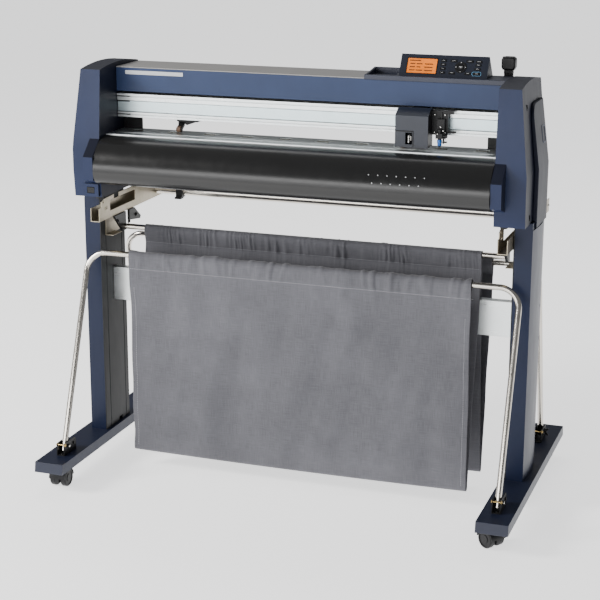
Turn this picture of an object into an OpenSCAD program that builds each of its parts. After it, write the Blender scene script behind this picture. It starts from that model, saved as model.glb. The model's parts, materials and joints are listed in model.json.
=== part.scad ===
// Wide-format roll cutter on a wheeled stand with a cloth media basket.
// Millimetres. +X to the operator's right, +Y to the rear, +Z up, floor at z = 0.

/* [Overall] */
// Width over the two feet
overall_w = 1323; // [1315:1:1330]
// Depth from the front of the feet to the rear of the roll arms
overall_d = 811; // [805:1:820]

/* [Stand] */
// Width of a foot
foot_w = 85; // [80:1:90]
// Length of a foot
foot_l = 783; // [770:1:790]
// Height of a foot's section
foot_h = 29; // [27:1:32]
// Height of a foot's underside over the floor
foot_z = 60; // [58:1:62]
// Sheet thickness of the steel tubes of the stand
tube_wall = 2.5; // [2:0.5:3]
// Depth of a leg, front to rear
leg_d = 155; // [150:1:158]
// Height of the leg tops
leg_top_z = 794; // [790:1:794]
// Height of the cross stay
stay_h = 97; // [80:1:110]
// Underside of the cross stay
stay_z = 465; // [440:1:500]

/* [Casters] */
// Diameter of a caster wheel
wheel_d = 50; // [48:0.5:50]
// Width of one of the two wheels of a caster
wheel_w = 17; // [14:0.5:18]
// Distance from the swivel axis to the axle
caster_trail = 16; // [10:1:18]
// Distance of a caster from the end of its foot
caster_inset = 58; // [50:1:65]
// Swivel angles at rest: front left, front right, rear left, rear right
caster_turn = [0, 55, -15, 30]; // [-180:5:180]

/* [Basket] */
// Diameter of the steel basket tubes
bar_d = 16; // [14:1:18]
// Half of the distance between the two legs of a basket tube
bar_half_w = 615; // [612:1:618]
// Bend radius of the basket tubes
bar_bend = 55; // [40:1:70]
// Half width of the cloth
cloth_half_w = 488; // [460:1:500]
// Thickness of the plain cloth solids
cloth_t = 4; // [3:0.5:5]

/* [Cutter] */
// Inner face of the side covers
cover_in_x = 547; // [545:1:549]
// Outer face of the side covers at their foot
cover_out_x = 628; // [624:1:630]
// Outer face of the side covers at their top
cover_top_x = 605; // [600:1:612]
// Height of the media surface
platen_z = 966; // [964:1:967]
// Radius of the round front guide
apron_r = 88; // [85:1:90]
// Height of the upper edge of the front fascia
beam_top_z = 1138.5; // [1137:0.5:1140]
// Height of the top of the control panel
panel_top_z = 1203; // [1200:1:1206]

/* [Roll arms] */
// Underside of the roll arms
arm_z = 722; // [718:1:724]
// Inner face of the roll arms
arm_in_x = 558; // [556:1:560]
// Width of a roll arm
arm_w = 27; // [24:1:28]
// Diameter of the roll shafts
shaft_d = 28; // [26:1:30]

/* [Hidden] */
$fn = 64;
eps = 0.01;
// Radial clearance of a running fit, and the gap between parts that only pass
run = 0.05;
gap = 0.4;
// Joint line between two sheets that are screwed together
seam = 0.2;

// Colours
navy = [0.20, 0.25, 0.38];
slate = [0.33, 0.35, 0.45];
black = [0.10, 0.10, 0.11];
dark = [0.24, 0.25, 0.26];
silver = [0.80, 0.82, 0.83];
steel = [0.72, 0.70, 0.66];
zinc = [0.60, 0.57, 0.48];
grey_cloth = [0.45, 0.45, 0.49];
warm_grey = [0.62, 0.61, 0.60];

// ---- Stand ----
foot_x = (overall_w - foot_w) / 2;
foot_y = -overall_d / 2;
foot_top_z = foot_z + foot_h;
cap_l = 6;
cap_slope = 4;
leg_x = 590;
leg_out_x = 641;
leg_y = -101.5;
leg_round_r = 600;
leg_rebate_x = 635;
leg_rebate_z = 776;
leg_panel_t = 3;
groove_w = 3;
groove_t = 1.5;
groove_ys = [30, 132];
stay_d = 26;
stay_y = -30;
stay_bolt_r = 5;
stay_bolt_y = 25;
stay_bolt_zs = [501 - 45, 501 + 45];

module tube_box(size, wall) {
  difference() {
    cube(size);
    translate([-eps, wall, wall]) cube([size.x + 2 * eps, size.y - 2 * wall, size.z - 2 * wall]);
  }
}

// Both sides of a symmetric pair
module both_sides() {
  children();
  mirror([1, 0, 0]) children();
}

// A foot: a rectangular steel tube with a bush hole for each caster stem
module foot() {
  color(navy)
  difference() {
    translate([foot_x + foot_w / 2, foot_y + cap_l, foot_z])
      rotate([0, 0, 90]) tube_box([foot_l - 2 * cap_l, foot_w, foot_h], tube_wall);
    for (y = caster_ys)
      translate([foot_x, y, foot_z - eps]) cylinder(r = stem_r + run, h = tube_wall + 2 * eps);
  }
}

module foot_left() { mirror([1, 0, 0]) foot(); }
module foot_right() { foot(); }

// One sloping end cap, with its joint face at y = 0 and its nose towards -Y
module foot_cap() {
  rotate([90, 0, 90]) linear_extrude(foot_w, center = true)
    polygon([[0, 0], [0, foot_h], [-cap_l + cap_slope, foot_h], [-cap_l, cap_slope], [-cap_l, 0]]);
}

module foot_caps() {
  color(navy) both_sides() {
    translate([foot_x, foot_y + cap_l, foot_z]) foot_cap();
    translate([foot_x, foot_y + foot_l - cap_l, foot_z]) mirror([0, 1, 0]) foot_cap();
  }
}

// A leg: an upright folded section, open towards the middle, with a rounded outer face
module leg() {
  color(navy)
  difference() {
    translate([0, 0, foot_top_z]) linear_extrude(leg_top_z - foot_top_z) difference() {
      intersection() {
        translate([leg_x, leg_y]) square([leg_out_x - leg_x, leg_d]);
        translate([leg_out_x - leg_round_r, leg_y + leg_d / 2]) circle(r = leg_round_r, $fn = 360);
      }
      translate([leg_x - eps, leg_y + tube_wall])
        square([leg_rebate_x - 2 * tube_wall - leg_x, leg_d - 2 * tube_wall]);
    }
    // Rebate for the lower end of the side panel
    translate([leg_rebate_x, leg_y - eps, leg_rebate_z])
      cube([leg_out_x - leg_rebate_x + 1, leg_d + 2 * eps, leg_top_z - leg_rebate_z + 1]);
    // Access holes of the cross stay's screws
    for (z = stay_bolt_zs)
      translate([leg_rebate_x - 3 * tube_wall, stay_bolt_y, z]) rotate([0, 90, 0])
        cylinder(r = stay_bolt_r, h = 6 * tube_wall);
  }
}

module leg_left() { mirror([1, 0, 0]) leg(); }
module leg_right() { leg(); }

// The two grooved cover plates on the inner sides of the legs
module leg_panels() {
  notch = [leg_panel_t, 20, 12];
  color(dark) both_sides() difference() {
    translate([leg_x - leg_panel_t, leg_y, foot_top_z]) cube([leg_panel_t, leg_d, leg_top_z - foot_top_z]);
    for (g = groove_ys)
      translate([leg_x - leg_panel_t - eps, leg_y + g - groove_w / 2, foot_top_z - eps])
        cube([groove_t, groove_w, leg_top_z - foot_top_z + 2 * eps]);
    translate([leg_x - leg_panel_t - eps, leg_y + leg_d * 0.55, foot_top_z - eps])
      cube(notch + [2 * eps, 0, 0]);
  }
}

module cross_stay() {
  stay_x = leg_x - leg_panel_t;
  color(silver) translate([-stay_x, stay_y, stay_z]) tube_box([2 * stay_x, stay_d, stay_h], tube_wall);
}

// ---- Casters ----
stem_r = 5;
caster_ys = [foot_y + caster_inset, foot_y + foot_l - caster_inset];
axle_r = 3;
web_half = 6;
hood_in_r = wheel_d / 2 + 1;
hood_out_r = wheel_d / 2 + 3.5;
wheel_in_x = 7.5;
wheel_round = 4;
hub_r = 11;
hub_recess = 1.5;

// Puts a caster piece, drawn about its swivel axis, at corner i
module at_caster(i) {
  side = i % 2 == 0 ? -1 : 1;
  translate([side * foot_x, caster_ys[floor(i / 2)], 0]) rotate([0, 0, caster_turn[i]]) children();
}

// Swivel body: stem, bearing cup, web and hood over both wheels
module caster_fork(i) {
  half_w = wheel_in_x + wheel_w;
  color(black) at_caster(i) {
    translate([0, 0, foot_z - gap]) cylinder(r = stem_r, h = tube_wall + 2 * gap + 4);
    translate([0, 0, wheel_d / 2 + hood_in_r + 0.5])
      cylinder(r = 13, h = foot_z - gap - wheel_d / 2 - hood_in_r - 0.5);
    translate([0, caster_trail, wheel_d / 2]) rotate([0, 90, 0]) difference() {
      union() {
        // Hood, closed over the upper part of the wheels
        difference() {
          cylinder(r = hood_out_r, h = 2 * half_w, center = true);
          cylinder(r = hood_in_r, h = 2 * half_w + 1, center = true);
          translate([-2, -hood_out_r - 1, -half_w - 1])
            cube([hood_out_r + 3, 2 * hood_out_r + 2, 2 * half_w + 2]);
        }
        // Web between the wheels
        difference() {
          cylinder(r = hood_out_r - 0.5, h = 2 * web_half, center = true);
          translate([10, -hood_out_r - 1, -web_half - 1])
            cube([hood_out_r, 2 * hood_out_r + 2, 2 * web_half + 2]);
        }
      }
      cylinder(r = axle_r + run, h = 4 * half_w, center = true);
    }
  }
}

// Half of a wheel's section: tread with rounded shoulders and a recessed hub face
module wheel_section() {
  r = wheel_d / 2;
  difference() {
    union() {
      square([r - wheel_round, wheel_w]);
      translate([0, wheel_round]) square([r, wheel_w - 2 * wheel_round]);
      for (y = [wheel_round, wheel_w - wheel_round]) translate([r - wheel_round, y])
        circle(r = wheel_round);
    }
    translate([hub_r, wheel_w - hub_recess]) square([r - wheel_round - hub_r - 2, hub_recess + 1]);
    translate([-r, -1]) square([r, wheel_w + 2]);
  }
}

module caster_wheels(i) {
  color(black) at_caster(i) translate([0, caster_trail, wheel_d / 2]) rotate([0, 90, 0]) {
    cylinder(r = axle_r, h = 2 * wheel_in_x + 2, center = true);
    for (s = [0, 1]) mirror([0, 0, s]) translate([0, 0, wheel_in_x]) rotate_extrude($fn = 96)
      wheel_section();
  }
}

module caster_fork_fl() { caster_fork(0); }
module caster_fork_fr() { caster_fork(1); }
module caster_fork_rl() { caster_fork(2); }
module caster_fork_rr() { caster_fork(3); }
module caster_wheels_fl() { caster_wheels(0); }
module caster_wheels_fr() { caster_wheels(1); }
module caster_wheels_rl() { caster_wheels(2); }
module caster_wheels_rr() { caster_wheels(3); }

// ---- Basket ----
bar_wall = 1.5;
pivot_z = 112;
pivot_bolt_r = 3;
// Pivot of each tube on its foot, and the centre line of its cross bar: [y, z]
front_pivot = [-314, pivot_z];
front_bar = [-124, 626];
rear_pivot = [258, pivot_z];
rear_bar = [121, 629];
rod_yz = [-16, 681];
rod_half_l = 553;
tube_end = 14;

// One U-shaped basket tube from its pivot up to its cross bar
module basket_tube(pivot, bar) {
  lean = atan2(bar[0] - pivot[0], bar[1] - pivot[1]);
  len = norm(bar - pivot);
  color(steel) translate([0, pivot[0], pivot[1]]) rotate([-lean, 0, 0]) difference() {
    u_tube(bar_d / 2, len, tube_end);
    u_tube(bar_d / 2 - bar_wall, len, tube_end + eps);
    for (x = [-bar_half_w, bar_half_w])
      translate([x, 0, 0]) rotate([0, 90, 0])
        cylinder(r = pivot_bolt_r + run, h = 2 * bar_d, center = true);
  }
}

module u_tube(r, len, tail) {
  flat = bar_half_w - bar_bend;
  both_sides() {
    translate([bar_half_w, 0, -tail]) cylinder(r = r, h = len - bar_bend + tail);
    translate([flat, 0, len - bar_bend]) rotate([90, 0, 0]) rotate_extrude(angle = 90)
      translate([bar_bend, 0]) circle(r = r);
  }
  translate([-flat, 0, len]) rotate([0, 90, 0]) cylinder(r = r, h = 2 * flat);
}

module front_tube() { basket_tube(front_pivot, front_bar); }
module rear_tube() { basket_tube(rear_pivot, rear_bar); }

module middle_rod() {
  color(steel) translate([-rod_half_l, rod_yz[0], rod_yz[1]]) rotate([0, 90, 0]) difference() {
    cylinder(r = bar_d / 2, h = 2 * rod_half_l);
    translate([0, 0, 8]) cylinder(r = bar_d / 2 - bar_wall, h = 2 * rod_half_l - 16);
  }
}

// Four channel brackets on the feet, each with its pivot bolt and its stop bolt
bracket_l = 72;
bracket_h = 36;
bracket_in = 9.2;
bracket_t = 2.5;
module tube_bracket(toward) {
  width = 2 * (bracket_in + bracket_t);
  translate([0, toward * bracket_l * 0.16, foot_top_z]) {
    difference() {
      translate([-width / 2, -bracket_l / 2, 0]) cube([width, bracket_l, bracket_h]);
      translate([-bracket_in, -bracket_l / 2 - eps, bracket_t])
        cube([2 * bracket_in, bracket_l + 2 * eps, bracket_h]);
      // Sloping upper corners
      for (s = [-1, 1]) translate([0, s * bracket_l / 2, bracket_h]) rotate([45, 0, 0])
        cube([width + 1, 11, 11], center = true);
    }
    // Bolt that ties the bracket to the foot
    translate([0, -toward * bracket_l * 0.36, bracket_t]) cylinder(r = 5, h = 3, $fn = 6);
    // Bolt in the stop hole
    for (s = [0, 1]) mirror([s, 0, 0])
      translate([bracket_in + bracket_t - eps, toward * bracket_l * 0.3, bracket_h * 0.6])
        rotate([0, 90, 0])
        cylinder(r = 4.5, h = 3);
  }
  // Pivot bolt
  translate([0, 0, pivot_z]) rotate([0, 90, 0]) cylinder(r = pivot_bolt_r, h = width + 5, center = true);
  for (s = [0, 1]) mirror([s, 0, 0]) translate([width / 2 - eps, 0, pivot_z]) rotate([0, 90, 0])
    cylinder(r = 5.5, h = 4);
}

module tube_brackets() {
  color(black) both_sides() {
    translate([bar_half_w, front_pivot[0], 0]) tube_bracket(1);
    translate([bar_half_w, rear_pivot[0], 0]) tube_bracket(-1);
  }
}

// Cloth: sleeves round the bars and sheets that hang in two narrow bags
sleeve_in = bar_d / 2 + 0.6;
sleeve_out = sleeve_in + cloth_t - 1;
front_bottom = [-119, 47];
rear_bottom = [52, 40];
split_z = 330;
bottom_r = 9;

// A strip of cloth section from point a to point b
module cloth_strip(a, b) {
  d = b - a;
  translate(a) rotate(atan2(d.y, d.x)) translate([0, -cloth_t / 2]) square([norm(d), cloth_t]);
}

module sleeve_ring(c) {
  translate(c) difference() {
    circle(r = sleeve_out);
    circle(r = sleeve_in);
  }
}

module cloth_extrude() {
  color(grey_cloth) rotate([90, 0, 90]) translate([0, 0, -cloth_half_w]) linear_extrude(2 * cloth_half_w)
    children();
}

// Point at height z on the straight line from a to b
function at_height(a, b, z) = a + (b - a) * (z - a.y) / (b.y - a.y);

front_edge = [front_bottom.x - bottom_r, front_bottom.y + bottom_r];
rear_edge = [rear_bottom.x + bottom_r, rear_bottom.y + bottom_r];
front_hang = [front_bar.x - sleeve_in - cloth_t / 2 + 1, front_bar.y];
rear_hang = [rear_bar.x + sleeve_in + cloth_t / 2 - 1, rear_bar.y];
split_gap = 3;

module bag_front() {
  cloth_extrude() difference() {
    union() {
      sleeve_ring(front_bar);
      cloth_strip(at_height(front_edge, front_hang, split_z + split_gap), front_hang);
    }
    translate(front_bar) circle(r = sleeve_in);
  }
}

module bag_rear() {
  cloth_extrude() difference() {
    union() {
      sleeve_ring(rear_bar);
      cloth_strip(at_height(rear_edge, rear_hang, split_z + split_gap), rear_hang);
    }
    translate(rear_bar) circle(r = sleeve_in);
  }
}

module fold_ring(c) {
  translate(c + [0, bottom_r]) difference() {
    circle(r = bottom_r + cloth_t / 2);
    circle(r = bottom_r - cloth_t / 2);
    translate([-2 * bottom_r, 0]) square([4 * bottom_r, 2 * bottom_r]);
  }
}

module bag_middle() {
  front_in = [front_bottom.x + bottom_r, front_bottom.y + bottom_r];
  rear_in = [rear_bottom.x - bottom_r, rear_bottom.y + bottom_r];
  lift = sleeve_in + cloth_t / 2 - 1;
  cloth_extrude() difference() {
    union() {
      cloth_strip(front_edge, at_height(front_edge, front_hang, split_z));
      fold_ring(front_bottom);
      cloth_strip(front_in, rod_yz + [-lift, 0]);
      sleeve_ring(rod_yz);
      cloth_strip(rod_yz + [lift, 0], rear_in);
      fold_ring(rear_bottom);
      cloth_strip(rear_edge, at_height(rear_edge, rear_hang, split_z));
    }
    translate(rod_yz) circle(r = sleeve_in);
  }
}

// ---- Roll arms ----
arm_front_y = -166;
arm_rear_y = overall_d / 2;
arm_t = 2;
arm_wall_h = 38;
arm_high = 60;
shaft_z = 746;
shaft_ys = [216, 362];
journal_r = 6;

// Side outline of the inner wall of an arm: [y, z] over the underside
module arm_inner_outline() {
  window = [[-98, 20], [-98, 50], [66, 50], [66, 20]];
  difference() {
    polygon([
      [arm_front_y, 0], [arm_front_y, arm_wall_h], [arm_front_y + 14, arm_wall_h],
      [arm_front_y + 14, arm_high - 6], [arm_front_y + 30, arm_high], [-72, arm_high + 2],
      [-72, arm_high - 12], [-40, arm_high - 12], [-40, arm_high + 2], [96, arm_high + 2],
      [126, arm_wall_h + 10], [arm_rear_y, arm_wall_h + 10], [arm_rear_y, 0]
    ]);
    polygon(window);
    for (h = [[-139, 52], [-118, 32], [-128, 32]]) translate(h) circle(r = 4);
    for (y = shaft_ys) translate([y, shaft_z - arm_z]) circle(r = journal_r + run);
  }
}

module stocker_arm() {
  len = arm_rear_y - arm_front_y;
  // Inner wall
  translate([arm_in_x, 0, arm_z]) rotate([90, 0, 90]) linear_extrude(arm_t) arm_inner_outline();
  // Floor and outer wall
  translate([arm_in_x, arm_front_y, arm_z]) cube([arm_w, len, arm_t]);
  translate([arm_in_x + arm_w - arm_t, arm_front_y, arm_z]) cube([arm_t, len, arm_wall_h]);
  // Shelf bracket between the arm and the leg
  shelf_z = 664;
  shelf_y = -74;
  shelf_l = 112;
  translate([leg_x - 2 * leg_panel_t - seam, shelf_y, shelf_z])
    cube([leg_panel_t, shelf_l, arm_z - shelf_z]);
  translate([arm_in_x + 4, shelf_y, shelf_z])
    cube([leg_x - 2 * leg_panel_t - arm_in_x - 4, shelf_l * 0.5, arm_t]);
  translate([arm_in_x + arm_w - arm_t, shelf_y, arm_z - arm_t]) cube([arm_t, shelf_l, 2 * arm_t]);
}

module stocker_arms() { color(zinc) both_sides() stocker_arm(); }

// A hollow roll shaft with a journal at each end
module stock_shaft(y) {
  half = arm_in_x - 1;
  color(steel) translate([0, y, shaft_z]) rotate([0, 90, 0]) {
    difference() {
      cylinder(r = shaft_d / 2, h = 2 * half, center = true);
      cylinder(r = shaft_d / 2 - bar_wall, h = 2 * half - 20, center = true);
    }
    cylinder(r = journal_r, h = 2 * (half + 12), center = true);
  }
}

module stock_shaft_front() { stock_shaft(shaft_ys[0]); }
module stock_shaft_rear() { stock_shaft(shaft_ys[1]); }

// Clip that slides along the front shaft and keeps the roll from wandering
stopper_x = -477;
stopper_w = 20;
module roll_stopper() {
  r = shaft_d / 2;
  color(black) translate([stopper_x, shaft_ys[0], shaft_z]) rotate([0, 90, 0]) {
    difference() {
      union() {
        cylinder(r = r + 5, h = stopper_w, center = true);
        translate([0, -r - 5, -stopper_w / 2]) cube([r + 8, 13, stopper_w]);
      }
      cylinder(r = r + run, h = stopper_w + 1, center = true);
    }
    translate([r + 2, -r - 14, -stopper_w / 2]) cube([6, 10, stopper_w]);
  }
}

// Black plates under the arms that carry the middle rod and the rear of the arms
module arm_gussets() {
  plate_x = rod_half_l;
  plate_t = arm_in_x + arm_t - rod_half_l;
  y0 = rod_yz.x;
  z0 = rod_yz.y - 12;
  color(black) both_sides() translate([plate_x, 0, 0]) rotate([90, 0, 90]) linear_extrude(plate_t) {
    polygon([[y0 - 66, arm_z], [y0 + 10, arm_z], [y0 + 10, z0], [y0 - 12, z0]]);
    polygon([[y0 + 32, arm_z], [y0 + 68, arm_z], [y0 + 110, arm_z - 32], [y0 + 104, arm_z - 40],
      [y0 + 32, arm_z - 30]]);
  }
}

// ---- Side covers ----
cover_z = 794;
cover_knee_z = 925;
cover_top_edge_z = 1141;
cover_wall = 3;
crown_r = 720;
crown_z = 1153.5;
crown_y = -32;
cover_rear_y = 87;
bulge_w = 28;

// Side outline of a cover, drawn inward by t: front face, crowned top, rear
module cover_side(t) {
  intersection() {
    polygon([
      [-169 + t, cover_z + t], [-176 + t, 870], [-176 + t, 952], [-165 + t, 1072],
      [-156 + t, 1180], [cover_rear_y - t, 1180], [cover_rear_y - t, cover_z + t]
    ]);
    translate([crown_y, crown_z - crown_r]) circle(r = crown_r - t, $fn = 360);
  }
}

// Front outline of a cover, drawn inward by t: [x, z]
module cover_front(t) {
  polygon([
    [cover_in_x + t, cover_z + t], [cover_out_x - t, cover_z + t], [cover_out_x - t, cover_knee_z],
    [cover_top_x - t, cover_top_edge_z], [cover_top_x - t - 2, crown_z + 10], [cover_in_x + t, crown_z + 10]
  ]);
}

// Outline of the rounded end cap beside the front guide
module bulge_side(t) {
  polygon([[-170, 962 - t], [-222 + t, 913], [-219 + t, 849 + t], [-170, 833 + t]]);
}

module cover_body(t) {
  intersection() {
    translate([cover_in_x - 10, 0, 0]) rotate([90, 0, 90]) linear_extrude(120) cover_side(t);
    translate([0, 150, 0]) rotate([90, 0, 0]) linear_extrude(400) cover_front(t);
  }
  translate([cover_in_x + t, 0, 0]) rotate([90, 0, 90]) linear_extrude(bulge_w - 2 * t) bulge_side(t);
}

screw_hole_r = 4;
module cover_shell() {
  difference() {
    cover_body(0);
    cover_body(cover_wall);
    // Opening over the leg
    translate([leg_x + 7, leg_y + 12, cover_z - 1]) cube([26, leg_d - 24, cover_wall + 2]);
    // Screw holes in the outer side
    for (p = [[-112, 1092], [-112, 812]])
      translate([cover_in_x + 20, p.x, p.y]) rotate([0, 90, 0]) cylinder(r = screw_hole_r, h = 80);
  }
}

// Power switch housing on the left cover
switch_x = [-596, -552];
switch_z = [797, 832];
switch_y = -180;
rocker_x = -575;
rocker_z = 814.5;
rocker_size = [22, 10, 17];
inlet_x = -586;
inlet_z = 842;
inlet_size = [30, 22];

module cover_left() {
  pocket = rocker_size + [2 * gap, 14, 2 * gap];
  color(slate) difference() {
    union() {
      mirror([1, 0, 0]) cover_shell();
      translate([switch_x[0], switch_y, switch_z[0]])
        cube([switch_x[1] - switch_x[0], 14, switch_z[1] - switch_z[0]]);
    }
    translate([rocker_x - pocket.x / 2, switch_y - 1, rocker_z - pocket.z / 2])
      cube([pocket.x, 20, pocket.z]);
    translate([rocker_x, rocker_pin_y, rocker_z]) rotate([0, 90, 0])
      cylinder(r = rocker_pin_r + run, h = rocker_size.x + 6, center = true);
    // Hole for the power inlet at the rear
    translate([inlet_x - inlet_size.x / 2, cover_rear_y - cover_wall - 1, inlet_z - inlet_size.y / 2])
      cube([inlet_size.x, cover_wall + 2, inlet_size.y]);
  }
}

module cover_right() { color(slate) cover_shell(); }

// Bulging outer panels at the rear of the covers
side_y = [-78, 60];
side_z = 777;
side_top_z = 1096;
side_t = 12;
side_round = 40;
module side_panel() {
  color(slate) intersection() {
    translate([cover_in_x, 0, 0]) rotate([90, 0, 90]) linear_extrude(120) union() {
      translate([side_y[0], side_z]) square([side_y[1] - side_y[0], side_top_z - side_z - side_round]);
      translate([side_y[0] + side_round, side_top_z - side_round - 1])
        square([side_y[1] - side_y[0] - side_round, side_round + 1]);
      translate([side_y[0] + side_round, side_top_z - side_round]) circle(r = side_round);
    }
    translate([0, 150, 0]) rotate([90, 0, 0]) linear_extrude(300) difference() {
      polygon([
        [leg_rebate_x + gap, side_z], [leg_out_x - 1, side_z], [leg_out_x - 1, cover_knee_z + 5],
        [cover_top_x + 12, side_top_z + 4], [cover_top_x, side_top_z + 4],
          [cover_out_x + gap, cover_knee_z],
        [cover_out_x + gap, leg_top_z + 1], [leg_rebate_x + gap, leg_top_z + 1]
      ]);
      offset_cover();
    }
  }
}

// Cover outline grown by the seam gap, in the front view
module offset_cover() {
  polygon([
    [cover_in_x, cover_z], [cover_out_x + gap, cover_z], [cover_out_x + gap, cover_knee_z],
    [cover_top_x + gap, cover_top_edge_z], [cover_in_x, cover_top_edge_z]
  ]);
}

module side_panels() { both_sides() side_panel(); }

rocker_pin_r = 2;
rocker_pin_y = switch_y + 6;
module power_rocker() {
  color(black) translate([rocker_x, rocker_pin_y, rocker_z]) {
    rotate([90, 0, 90]) linear_extrude(rocker_size.x - 1, center = true)
      polygon([[-7, 7.6], [-5.2, 0], [-6, -7.6], [4, -6], [4, 6]]);
    rotate([0, 90, 0]) cylinder(r = rocker_pin_r, h = rocker_size.x + 4, center = true);
  }
}

foot_pad_r = 11;
module rubber_feet() {
  color(black) both_sides() for (y = [-140, 60])
    translate([cover_in_x + 21, y, cover_z - 9]) cylinder(r1 = foot_pad_r - 1.5, r2 = foot_pad_r, h = 9);
}

// ---- Beam: rail, fascia, top plate ----
beam_half = cover_in_x - 1;
rail_top_z = 1067;
rail_z = 1002;
fascia_y = -60;
fascia_z = 1074;
fascia_t = 2.5;
beam_rear_y = 86;
slot_y = [-42, -30];

module along_x(half) {
  translate([-half, 0, 0]) rotate([90, 0, 90]) linear_extrude(2 * half) children();
}

// Aluminium extrusion that the carriage runs on: section in [y, z]
module y_rail() {
  color(silver) along_x(beam_half) difference() {
    polygon([
      [-60, rail_top_z], [-60, rail_top_z - 6], [-52, rail_top_z - 6], [-52, rail_top_z - 9],
      [-58, rail_top_z - 9], [-58, rail_top_z - 19], [-54, rail_top_z - 21], [-54, rail_z + 16],
      [-58, rail_z + 14], [-58, rail_z + 9], [-52, rail_z + 9], [-52, rail_z + 6],
      [-57, rail_z + 6], [-57, rail_z], [-6, rail_z], [-6, rail_top_z]
    ]);
    // Two closed chambers
    translate([-48, rail_z + 35]) square([38, 24]);
    translate([-48, rail_z + 13]) square([38, 18]);
    // Undercut slot for the push roller holders
    translate([slot_y[0], rail_z - 1]) square([slot_y[1] - slot_y[0], 7]);
    translate([slot_y[0] - 3, rail_z + 4]) square([slot_y[1] - slot_y[0] + 6, 5]);
  }
}

module fascia() {
  color(slate) along_x(beam_half) polygon([
    [fascia_y, fascia_z], [fascia_y, beam_top_z], [fascia_y + 14, beam_top_z],
    [fascia_y + 14, beam_top_z - fascia_t], [fascia_y + fascia_t, beam_top_z - fascia_t],
    [fascia_y + fascia_t, fascia_z + fascia_t], [fascia_y + 12, fascia_z + fascia_t],
      [fascia_y + 12, fascia_z]
  ]);
}

// Sheet over the beam with the rear wall, notched at the right for the set lever
notch_x = 503;
notch_y = 36;
notch_z = 1062;
module top_plate() {
  color(warm_grey) difference() {
    along_x(beam_half) polygon([
      [fascia_y, beam_top_z], [fascia_y, beam_top_z + fascia_t], [beam_rear_y, beam_top_z + fascia_t],
      [beam_rear_y, rail_z], [beam_rear_y - fascia_t, rail_z], [beam_rear_y - fascia_t, beam_top_z]
    ]);
    translate([notch_x, notch_y, notch_z]) cube([beam_half, beam_rear_y, 100]);
  }
}

// ---- Chassis, platen and front guide ----
grit_y = -56;
grit_r = 11;
grit_proud = 1;
grit_z = platen_z + grit_proud - grit_r;
grit_journal = 5;
ring_w = 30;
ring_xs = [for (i = [0:9]) -486 + i * 108];
platen_y = [-136, -18];
platen_t = 3;
cam_y = 64;
cam_z = 1088;
cam_r = 5;
bracket_x = beam_half - 5;
bracket_y = [-100, 76];

module chassis() {
  floor_z = 823;
  floor_y = [-112, 60];
  wall = 2;
  wall_z = floor_z + wall + seam;
  wall_half = bracket_x - seam;
  color(dark) {
    // Floor, front wall and rear wall of the trough under the platen
    translate([-beam_half, floor_y[0], floor_z]) cube([2 * beam_half, floor_y[1] - floor_y[0], wall]);
    translate([-wall_half, floor_y[0], wall_z]) cube([2 * wall_half, wall, platen_z - platen_t - wall_z]);
    translate([-wall_half, floor_y[1] - wall, wall_z]) cube([2 * wall_half, wall, platen_z - 20 - wall_z]);
    both_sides() {
      // End bracket with the bearings of the grit roller and the cam shaft
      difference() {
        translate([bracket_x, bracket_y[0], wall_z])
          cube([5, bracket_y[1] - bracket_y[0], cam_z + 14 - wall_z]);
        // Clear of the rail, the fascia and the platen
        translate([bracket_x - 1, -62, rail_z - gap]) cube([7, 57, 140]);
        translate([bracket_x - 1, bracket_y[0] - 1, platen_z - platen_t - gap])
          cube([7, bracket_y[0] * -1 - 16, 40]);
        translate([bracket_x - 1, bracket_y[0] - 1, platen_z + 30]) cube([7, 39, 200]);
        translate([bracket_x - 1, grit_y, grit_z]) rotate([0, 90, 0])
          cylinder(r = grit_journal + run, h = 8);
        translate([bracket_x - 1, cam_y, cam_z]) rotate([0, 90, 0]) cylinder(r = cam_r + run, h = 8);
      }
      // Plate that ties the rail to the base
      translate([beam_half - 55, -14, platen_z - 40]) cube([50 - seam, 3, rail_z - platen_z + 40]);
      // Block that stands on the leg
      translate([leg_x + 9, leg_y + 14, leg_top_z]) cube([22, leg_d - 28, 40]);
    }
  }
}

// Media surface with a slot over each grit ring and a cutting groove
module platen() {
  color(silver) difference() {
    translate([-beam_half, platen_y[0], platen_z - platen_t])
      cube([2 * beam_half, platen_y[1] - platen_y[0], platen_t]);
    for (x = ring_xs) translate([x - ring_w / 2 - 3, grit_y - grit_r - 2, platen_z - platen_t - 1])
      cube([ring_w + 6, 2 * grit_r + 4, platen_t + 2]);
    translate([-beam_half + 20, -103, platen_z - 1]) cube([2 * beam_half - 40, 6, 2]);
  }
}

// Section of the rounded front guide, drawn inward by t
apron_low = 836;
apron_back = 24;
apron_corner = 38;
module apron_section(t) {
  cy = platen_y[0];
  cz = platen_z - platen_t - apron_r;
  over = t > 0 ? apron_back + 5 : 0;
  translate([cy, cz]) intersection() {
    circle(r = apron_r - t, $fn = 180);
    translate([-apron_r, 0]) square([apron_r + over, apron_r]);
  }
  translate([cy - apron_r + t, apron_low + apron_corner])
    square([apron_r - t + over, cz - apron_low - apron_corner]);
  translate([cy - apron_r + apron_corner, apron_low + t])
    square([apron_r - apron_corner + apron_back + over, apron_corner]);
  translate([cy - apron_r + apron_corner, apron_low + apron_corner]) circle(r = apron_corner - t);
}

module apron() {
  wall = 3;
  color(black) along_x(beam_half - 0.5) difference() {
    apron_section(0);
    apron_section(wall);
  }
}

module grit_roller() {
  color(steel) translate([0, grit_y, grit_z]) rotate([0, 90, 0]) {
    cylinder(r = grit_journal, h = 2 * (bracket_x + 4), center = true);
    for (x = ring_xs) translate([0, 0, x]) cylinder(r = grit_r, h = ring_w, center = true);
  }
}

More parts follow.
